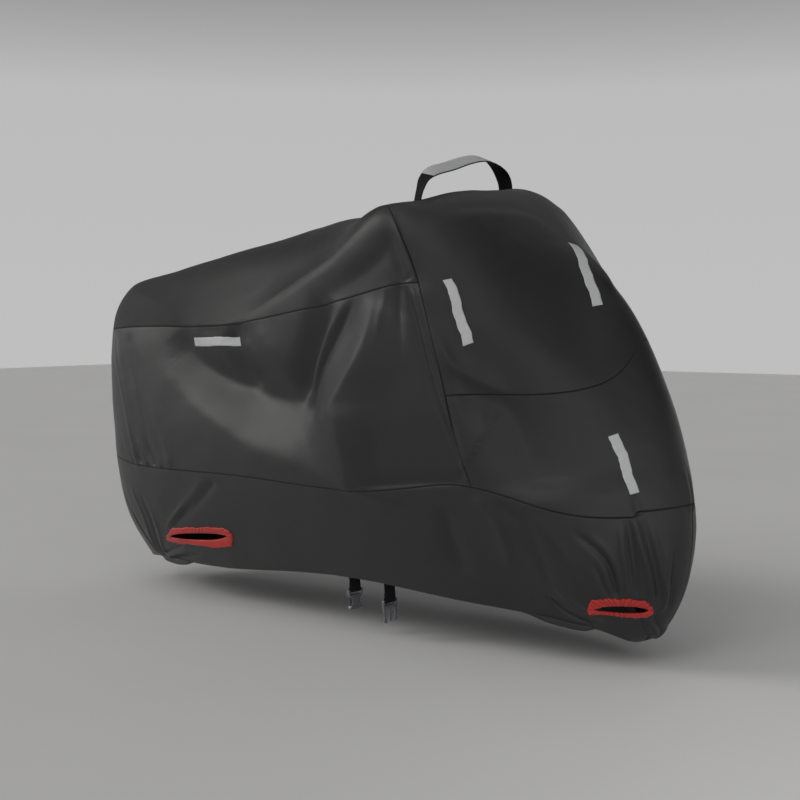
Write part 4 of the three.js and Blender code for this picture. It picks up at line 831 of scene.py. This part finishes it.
# ------------------------------------------------------------------ panels
def spaced(a, b, length, start, end):
    """Grid places from a to b, GRID apart, closer beside a seam."""
    n = max(2, int(round(length / GRID)))
    t = np.linspace(0, 1, n + 1)
    edge = np.array(SEAM_STEPS) / length
    lo = edge if start else np.array([0.0])
    hi = 1 - edge[::-1] if end else np.array([1.0])
    inner = t[(t > lo[-1] + .45 / n) & (t < hi[0] - .45 / n)]
    return a + (b - a) * np.concatenate([lo, inner, hi])


def path_length(us, vs, side=-1):
    p = base(us, vs, np.full(len(us), float(side)))
    return np.linalg.norm(np.diff(p, axis=0), axis=1).sum()


def lip_depth(s, side=0):
    """How far the hem reaches below its line; side 0 counts only the lips that both sides have."""
    d = np.full(np.shape(s), LIP_LEAST)
    for f in LIPS:
        if f.get("side", 0) not in (0, side):
            continue
        t = np.clip(1 - ((s - f["run"]) / f["half"]) ** 2, 0, 1)
        d = np.maximum(d, f["deep"] * t ** .8)
    return d / 1000


LIP_ROWS = 5


def panel_piece(row):
    (u0, u1), (v0, v1) = row["round"], row["up"]
    lu = path_length(np.linspace(u0, u1, 60), np.full(60, (v0 + v1) / 2))
    lv = max(path_length(np.full(60, k), np.linspace(v0, v1, 60)) for k in (u0 + .3, (u0 + u1) / 2, u1 - .3))
    tail_seam, nose_seam = "tail" not in row["joined"], "nose" not in row["joined"]
    low_seam, top_seam = v0 > 0, "spine" not in row["joined"]
    U = spaced(u0, u1, lu, tail_seam, nose_seam)
    V = spaced(v0, v1, lv, low_seam, top_seam)
    lips = 0 if low_seam else LIP_ROWS
    parts, seams, painted_shading_parts, wear_and_shade_parts, ids = [], [], [], [], []
    for side in row["sides"]:
        uu, vv = np.meshgrid(U, V, indexing="ij")
        if lips:
            uu = np.concatenate([np.repeat(uu[:, :1], lips, 1), uu], 1)
            vv = np.concatenate([np.zeros((len(U), lips)), vv], 1)
        ss = np.full_like(uu, float(side))
        wu, wv = warp(uu, vv)
        sv = np.linalg.norm(base(wu, wv + STEP, ss) - base(wu, wv - STEP, ss), axis=-1) / (2 * STEP)
        su = np.linalg.norm(base(wu + STEP, wv, ss) - base(wu - STEP, wv, ss), axis=-1) / (2 * STEP)
        flare = np.zeros_like(uu)
        if lips:
            deep, turned = lip_depth(run_of(wu[:, :1]), side), lip_depth(run_of(wu[:, :1]))
            share = np.linspace(1, 0, lips + 1)[:lips]
            down = deep * share
            wv[:, :lips] = -down / sv[:, :lips]
            big = smooth(.004, .013, turned)
            flare[:, :lips] = turned * share * (.62 * big - .35 * (1 - big))
            flare[:, lips] -= .0014 * big[:, 0]
        keep = np.ones((uu.shape[0] - 1, uu.shape[1] - 1), bool)
        if lips:
            for hole in HOLES:
                at = Beside(hole["ends"], side)
                outer, slit = hole_edges(hole)
                edge = (outer + slit) / 2
                a, b = at.ab(wu, wv)
                close = (np.abs(a) < .14) & (np.abs(b) < .06)
                d, na, nb = nearest_on(edge, a[close], b[close])
                snap = d < GRID * .5
                a2, b2 = a[close].copy(), b[close].copy()
                a2[snap], b2[snap] = na[snap], nb[snap]
                nu, nv = at.uv(a2, b2)
                wu[close], wv[close] = nu, nv
                a, b = at.ab(wu, wv)
                ca = (a[1:, 1:] + a[:-1, :-1] + a[1:, :-1] + a[:-1, 1:]) / 4
                cb = (b[1:, 1:] + b[:-1, :-1] + b[1:, :-1] + b[:-1, 1:]) / 4
                keep &= ~(inside(edge, ca, cb) & (np.abs(ca) < .14) & (np.abs(cb) < .06))
        h = lift(wu, wv, ss) + flare
        d = np.full_like(uu, 1.0)
        if tail_seam:
            d = np.minimum(d, (uu - u0) * su)
        if nose_seam:
            d = np.minimum(d, (u1 - uu) * su)
        if low_seam:
            d = np.minimum(d, (vv - v0) * sv)
        if top_seam:
            d = np.minimum(d, (v1 - vv) * sv)
        h = h - GROOVE["deep"] * np.exp(-(d / GROOVE["wide"]) ** 2)
        seam = np.exp(-(np.maximum(0, d - .0011) / .0012) ** 2)
        p = base(wu, wv, ss) + normals(base, wu, wv, ss) * h[..., None]
        if lips:
            # the hem's turned edge is a little darker at its fold
            seam[:, lips] = np.maximum(seam[:, lips], .7 * smooth(.004, .013, turned)[:, 0])
            edge_dark = .8 * (1 - smooth(.004, .010, turned[:, 0]))
        count = sum(len(x) for x in parts)
        idx = count + np.arange(uu.size).reshape(uu.shape)
        if len(ids):
            first = ids[0][0]
            if not tail_seam:
                idx[0] = first[0]
            if not nose_seam:
                idx[-1] = first[-1]
            if not top_seam:
                idx[:, -1] = first[:, -1]
        ids.append((idx, keep, side))
        parts.append(p.reshape(-1, 3))
        seams.append(seam.ravel())
        # the tail is more worn and duller at its rear, and its colour is darkened there as painted shade
        wear_and_shade = 1 - smooth(2.4, 4.8, wu) if row["name"] == "tail_panel" else np.zeros_like(wu)
        # painted light and shade per point: the panel's painted shade, the painted shade at the tail's rear, and the
        # paler and darker fold slopes
        painted_shading_parts.append((row["painted_shading"] * (1 - .16 * wear_and_shade) * painted_slope_shading(wu, wv, ss)).ravel())
        wear_and_shade_parts.append(wear_and_shade.ravel())
    verts, seam, painted_shading, wear_and_shade = (np.concatenate(x) for x in (parts, seams, painted_shading_parts, wear_and_shade_parts))
    faces = []
    for idx, keep, side in ids:
        q = np.stack([idx[:-1, :-1], idx[1:, :-1], idx[1:, 1:], idx[:-1, 1:]], -1)[keep]
        faces.append(q if side < 0 else q[:, ::-1])
    faces = np.concatenate(faces)
    used = np.unique(faces)
    remap = np.full(len(verts), -1)
    remap[used] = np.arange(len(used))
    return verts[used], remap[faces], seam[used], painted_shading[used], wear_and_shade[used]


shown = {}
for row in PANELS:
    v, f, s, painted_shading, wear_and_shade = panel_piece(row)
    v2, f2 = close_sheet(v, f, CLOTH)
    ob = new_object(row["name"] + "_cloth", v2, f2, M_CLOTH)
    point_value(ob, "seam", np.concatenate([s, s]))
    # the painted light and shade, kept per point for the colour
    point_value(ob, "painted_shading", np.concatenate([painted_shading, painted_shading]))
    point_value(ob, "wear_and_shade", np.concatenate([wear_and_shade, wear_and_shade]))
    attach(ob, "root")
    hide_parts(row["name"])
    shown[row["name"]] = ob

# ------------------------------------------------------------------ gathered bindings
def binding_piece(hole, side, seed):
    rng = np.random.default_rng(seed)
    at = Beside(hole["ends"], side)
    outer = through([r["out"] for r in hole["rows"]], 40, True) / 1000
    slit = through([r["slit"] for r in hole["rows"]], 40, True) / 1000
    # even steps round the middle of the binding
    mid = (outer + slit) / 2
    seg = np.linalg.norm(np.roll(mid, -1, 0) - mid, axis=1)
    t = np.concatenate([[0], np.cumsum(seg)])
    N, M = int(t[-1] / BINDING["step"]), BINDING["across"]
    want = np.arange(N) / N * t[-1]
    pick = lambda c: np.stack([np.interp(want, t, np.concatenate([c[:, k], c[:1, k]])) for k in range(2)], -1)
    outer, slit = pick(outer), pick(slit)
    # gathers: uneven steps, some deep, some shallow, a little slanted
    G = int(t[-1] / BINDING["gather"])
    steps = rng.uniform(.55, 1.6, G)
    edge = np.concatenate([[0], np.cumsum(steps)]) / steps.sum()
    deep = rng.uniform(.35, 1.0, G)
    slant = rng.uniform(-.35, .35, G)
    around = np.arange(N) / N
    verts, crease = [], []
    section = []
    for k in range(M):
        a = 2 * math.pi * k / M
        section.append((math.cos(a), math.sin(a)))
    for (cx, cy) in section:
        w = .5 + .5 * np.sign(cx) * abs(cx) ** .75      # 0 at the slit, 1 at the outer edge
        h = np.sign(cy) * abs(cy) ** .8
        pos = (around + (w - .5) * np.interp(around, edge[:-1], slant) / G) % 1.0
        g = np.clip(np.searchsorted(edge, pos, side="right") - 1, 0, G - 1)
        local = (pos - edge[g]) / (edge[g + 1] - edge[g])
        ridge = np.sin(np.pi * local) ** .7
        dip = 1 - ridge
        dip = dip * deep[g]
        rise = (BINDING["high"] if h > 0 else BINDING["low"]) * h
        rise = rise - .0027 * dip * (1 if h >= 0 else -.6) * (.35 + .65 * abs(h))
        wob = .0011 * np.sin(2 * np.pi * around * 9 + seed) + .0008 * np.sin(2 * np.pi * around * 23 + 2 * seed)
        ww = w + (w - .5) * (-.15 * dip) + (wob / .02) * (w > .5)
        ab = slit + (outer - slit) * ww[:, None]
        u, v = at.uv(ab[:, 0], ab[:, 1])
        ss = np.full(N, float(side))
        p = skin(u, v, ss)
        nn = normals(base, u, v, ss)
        verts.append(p + nn * (rise + .0006)[:, None])
        # painted shade for the dip of each gather
        crease.append(dip * (1 if h >= -.2 else .6))
    verts = np.stack(verts, 1).reshape(-1, 3)
    crease = np.clip(np.stack(crease, 1).ravel(), 0, 1)
    k = np.arange(N)[:, None]
    e = np.arange(M)[None, :]
    a, b = k * M + e, k * M + (e + 1) % M
    c, d = ((k + 1) % N) * M + (e + 1) % M, ((k + 1) % N) * M + e
    faces = np.stack([a, b, c, d], -1).reshape(-1, 4)
    # turn the faces outwards
    centre = verts.reshape(N, M, 3).mean(1, keepdims=True)
    vn = vertex_normals(verts, faces).reshape(N, M, 3)
    if ((verts.reshape(N, M, 3) - centre) * vn).sum() < 0:
        faces = faces[:, ::-1]
    ob = new_object("binding_%s_%s" % (hole["at"], "right" if side < 0 else "left"), verts, faces, M_BIND)
    point_value(ob, "crease", crease)
    return ob


def own(ob, slot, *nodes):
    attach(ob, "root")
    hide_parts(*nodes)
    return ob


bindings = {-1: [], 1: []}
for side, hand in ((-1, "right"), (1, "left")):
    for k, hole in enumerate(HOLES):
        ob = binding_piece(hole, side, 3 + 2 * k + side)
        bindings[side].append(own(ob, "binding", "lock_hole_binding_%s_%s" % (hole["at"], hand)))


# ------------------------------------------------------------------ reflective strips
def strip_piece(strip, side):
    hand = "right" if side < 0 else "left"
    if side > 0 and "left" in strip:
        at, side = Beside(strip["left"], -1), -1
    else:
        at = Beside(strip["ends"], side)
    n, k = 72, 8
    t = np.linspace(-.5, .5, n + 1)
    w = np.linspace(-.5, .5, k + 1)
    rng = np.random.default_rng(int(strip["turn"] * 10) + (side > 0))
    wave = strip["wave"] / 1000
    shift = wave * (np.sin(t * 2 * np.pi * 1.55 + strip["turn"]) + .35 * np.sin(t * 2 * np.pi * 4.3 + 2 * strip["turn"]))
    nick = [np.convolve(rng.normal(0, 1, n + 9), np.ones(4) / 4, "same")[4:n + 5] * .00055 for _ in range(2)]
    b = shift[:, None] + w[None, :] * STRIP["wide"]
    b[:, 0] += nick[0]
    b[:, -1] += nick[1]
    a = (t * at.long)[:, None] + np.zeros_like(b)
    u, v = at.uv(a, b)
    ss = np.full(u.shape, float(side))
    p = skin(u, v, ss)
    nn = normals(skin, u, v, ss)
    crinkle = .00025 * np.sin(t * 2 * np.pi * 7 + strip["turn"])[:, None]
    outer = p + nn * (STRIP["lift"] + STRIP["thick"] + crinkle)[..., None]
    idx = np.arange(outer[..., 0].size).reshape(outer.shape[:2])
    q = np.stack([idx[:-1, :-1], idx[1:, :-1], idx[1:, 1:], idx[:-1, 1:]], -1).reshape(-1, 4)
    verts = outer.reshape(-1, 3)
    if (vertex_normals(verts, q) * nn.reshape(-1, 3)).sum() < 0:
        q = q[:, ::-1]
    v2, f2 = close_sheet(verts, q, STRIP["thick"])
    edge = np.zeros(outer.shape[:2])
    v2 = v2
    ob = new_object("strip_%s_%s" % (strip["at"], hand), v2, f2, M_TAPE)
    point_value(ob, "edge", np.concatenate([edge.ravel(), edge.ravel()]))
    return ob


for side, hand in ((-1, "right"), (1, "left")):
    for strip in STRIPS:
        ob = strip_piece(strip, side)
        own(ob, "tape", "reflective_strip_%s_%s" % (strip["at"], hand))


# ------------------------------------------------------------------ ribbons
def ribbon_piece(name, mids, wides, faces_out, width, thick, material, across=10, ribs=0.0, edge_round=.5, sag=None):
    """A woven ribbon on a line of frames: flat oval section with raised edges and fine ribs across."""
    n = len(mids)
    mids, wides, outs = (np.asarray(x, float) for x in (mids, wides, faces_out))
    rows = []
    for w in np.linspace(-1, 1, across + 1):
        rows.append((w, 1))
    for w in np.linspace(1, -1, across + 1):
        rows.append((w, -1))
    verts = np.zeros((n, len(rows), 3))
    length = np.concatenate([[0], np.cumsum(np.linalg.norm(np.diff(mids, axis=0), axis=1))])
    rib = 1 - ribs * (.5 + .5 * np.cos(2 * np.pi * length / .0026))
    for k, (w, f) in enumerate(rows):
        end = 1 - .55 * max(0, (abs(w) - .86) / .14) ** 2
        selvedge = 1 + .22 * math.exp(-((abs(w) - .84) / .07) ** 2)
        h = f * thick / 2 * end * selvedge * rib
        verts[:, k] = mids + wides * (w * width / 2) + outs * h[:, None]
    m = len(rows)
    idx = np.arange(n * m).reshape(n, m)
    a, b = idx[:-1], np.roll(idx[:-1], -1, 1)
    c, d = np.roll(idx[1:], -1, 1), idx[1:]
    quads = np.stack([a, b, c, d], -1).reshape(-1, 4)
    caps = np.stack([idx[0][::-1], idx[-1]])
    verts = verts.reshape(-1, 3)
    vn = vertex_normals(verts, quads).reshape(n, m, 3)
    if (vn[:, : across + 1] * outs[:, None]).sum() < 0:
        quads = quads[:, ::-1]
        caps = caps[:, ::-1]
    return new_object(name, verts, [quads, caps], material), length


def smooth_frames(line, n):
    P = np.array([r["p"] for r in line], float) / 1000
    W = unit(np.array([r["wide"] for r in line], float))
    p = through(P, 40)
    w = through(W, 40)
    seg = np.concatenate([[0], np.cumsum(np.linalg.norm(np.diff(p, axis=0), axis=1))])
    want = np.linspace(0, seg[-1], n)
    p = np.stack([np.interp(want, seg, p[:, k]) for k in range(3)], -1)
    w = np.stack([np.interp(want, seg, w[:, k]) for k in range(3)], -1)
    t = unit(np.gradient(p, axis=0))
    w = unit(w - (w * t).sum(-1, keepdims=True) * t)
    out = -unit(np.cross(t, w))
    return p, w, out, seg[-1]


p, w, out, strap_long = smooth_frames(STRAP_LINE, 420)
# the feet go down to the cloth of the crown, each corner on its own slope
crown = shown["front_panel_upper"]
bpy.context.view_layer.update()


def crown_at(x, y):
    ok, hit, _, _ = crown.ray_cast(Vector(to_frame((x, y, 1.6))), Vector((0, 0, -1)))
    return hit.z + HANG[2] if ok else None


strap, _ = ribbon_piece("strap_webbing", p, w, out, STRAP["wide"], STRAP["thick"], M_WEB, across=12, ribs=.16)
me = strap.data
co = np.zeros(len(me.vertices) * 3, np.float32)
me.vertices.foreach_get("co", co)
co = co.reshape(420, -1, 3)
for end, sign in ((0, 1), (-1, -1)):
    for k in range(co.shape[1]):
        x, y, _ = co[end, k] + np.array(HANG)
        z = crown_at(x, y)
        if z is not None:
            gap = co[end, k, 2] - (z - HANG[2]) + .0012
            for j in range(22):
                co[j if end == 0 else -1 - j, k, 2] -= gap * (1 - j / 22) ** 2
me.vertices.foreach_set("co", co.ravel())
me.update()
own(strap, "webbing", "carrying_strap")

i0, i1 = int(STRAP_TAPE["start"] * 420), int(STRAP_TAPE["end"] * 420)
gapo = (STRAP["thick"] * 1.22 + STRAP_TAPE["thick"]) / 2 + .0002
rng = np.random.default_rng(12)
side_wave = np.convolve(rng.normal(0, 1, i1 - i0 + 31), np.hanning(30) / 15, "same")[15:15 + i1 - i0] * .0006
tape, _ = ribbon_piece("strap_tape", (p + out * gapo)[i0:i1] + w[i0:i1] * side_wave[:, None], w[i0:i1], out[i0:i1], STRAP_TAPE["wide"], STRAP_TAPE["thick"], M_TAPE, across=8)
own(tape, "tape", "carrying_strap_tape")


# ------------------------------------------------------------------ webbing tails
def clip_frame(tail):
    up = np.array([0, 0, 1.0])
    a = unit(np.array(TAIL_ACROSS, float))
    axis = unit(np.cross(a, up))
    c, s = math.cos(tail["slope"]), math.sin(tail["slope"])
    across = unit(a * c + np.cross(axis, a) * s + axis * (axis @ a) * (1 - c))
    face = unit(np.cross(across, up))
    square = unit(np.cross(face, across))
    return across, square, face, np.array([tail["x"], tail["y"], tail["bar"]]) / 1000


def tail_piece(tail):
    across, square, face, origin = clip_frame(tail)
    rows = []
    minus = np.array(-1.0)
    for v in (.36, .26, .17):
        nn = normals(skin, tail["section"], v, minus)
        along = unit(skin(tail["section"] + STEP, v, minus) - skin(tail["section"] - STEP, v, minus))
        rows.append((skin(tail["section"], v, minus) - nn * (CLOTH + .0014 + WEB["thick"] / 2), along, nn))
    start = rows[-1]
    stop = (np.array([tail["x"], tail["y"], tail["hem"] - 6]) / 1000, across, face)
    turns = 7
    for k in range(1, turns + 1):
        t = float(smooth(0, 1, k / turns))
        q = start[0] * (1 - t) + stop[0] * t
        q[2] = start[0][2] + (stop[0][2] - start[0][2]) * k / turns
        wide = unit(start[1] * (1 - t) + stop[1] * t)
        o = start[2] * (1 - t) + stop[2] * t
        rows.append((q, wide, unit(o - wide * (o @ wide))))
    r = WEB["wrap"]

    def put(a, b, angle):
        rows.append((origin + square * a + face * b, across, unit(face * math.cos(angle) - square * math.sin(angle))))

    put(.006, r, 0)
    for deg in (0, 30, 60, 90, 120, 150, 180):
        a = math.radians(deg)
        put(-r * math.sin(a), r * math.cos(a), a)
    put(.007, -.0014, math.pi * 1.12)
    put(.014, .0016, math.pi)
    put(.024, .0017, math.pi)
    P = through([x[0] for x in rows], 12)
    W = unit(through([x[1] for x in rows], 12))
    O = through([x[2] for x in rows], 12)
    W = unit(W)
    O = unit(O - W * (O * W).sum(-1, keepdims=True))
    ob, _ = ribbon_piece("tail_webbing_" + tail["at"], P, W, O, WEB["wide"], WEB["thick"] * .8, M_WEB, across=12, ribs=.16)
    return ob


tails = [own(tail_piece(t), "webbing", "webbing_tail_" + t["at"]) for t in TAILS]

# ------------------------------------------------------------------ clip halves
for name in ("clip_socket_half", "clip_pronged_half"):
    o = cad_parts[name]
    o.data.materials.clear()
    o.data.materials.append(M_CLIP)
    tails.append(o)
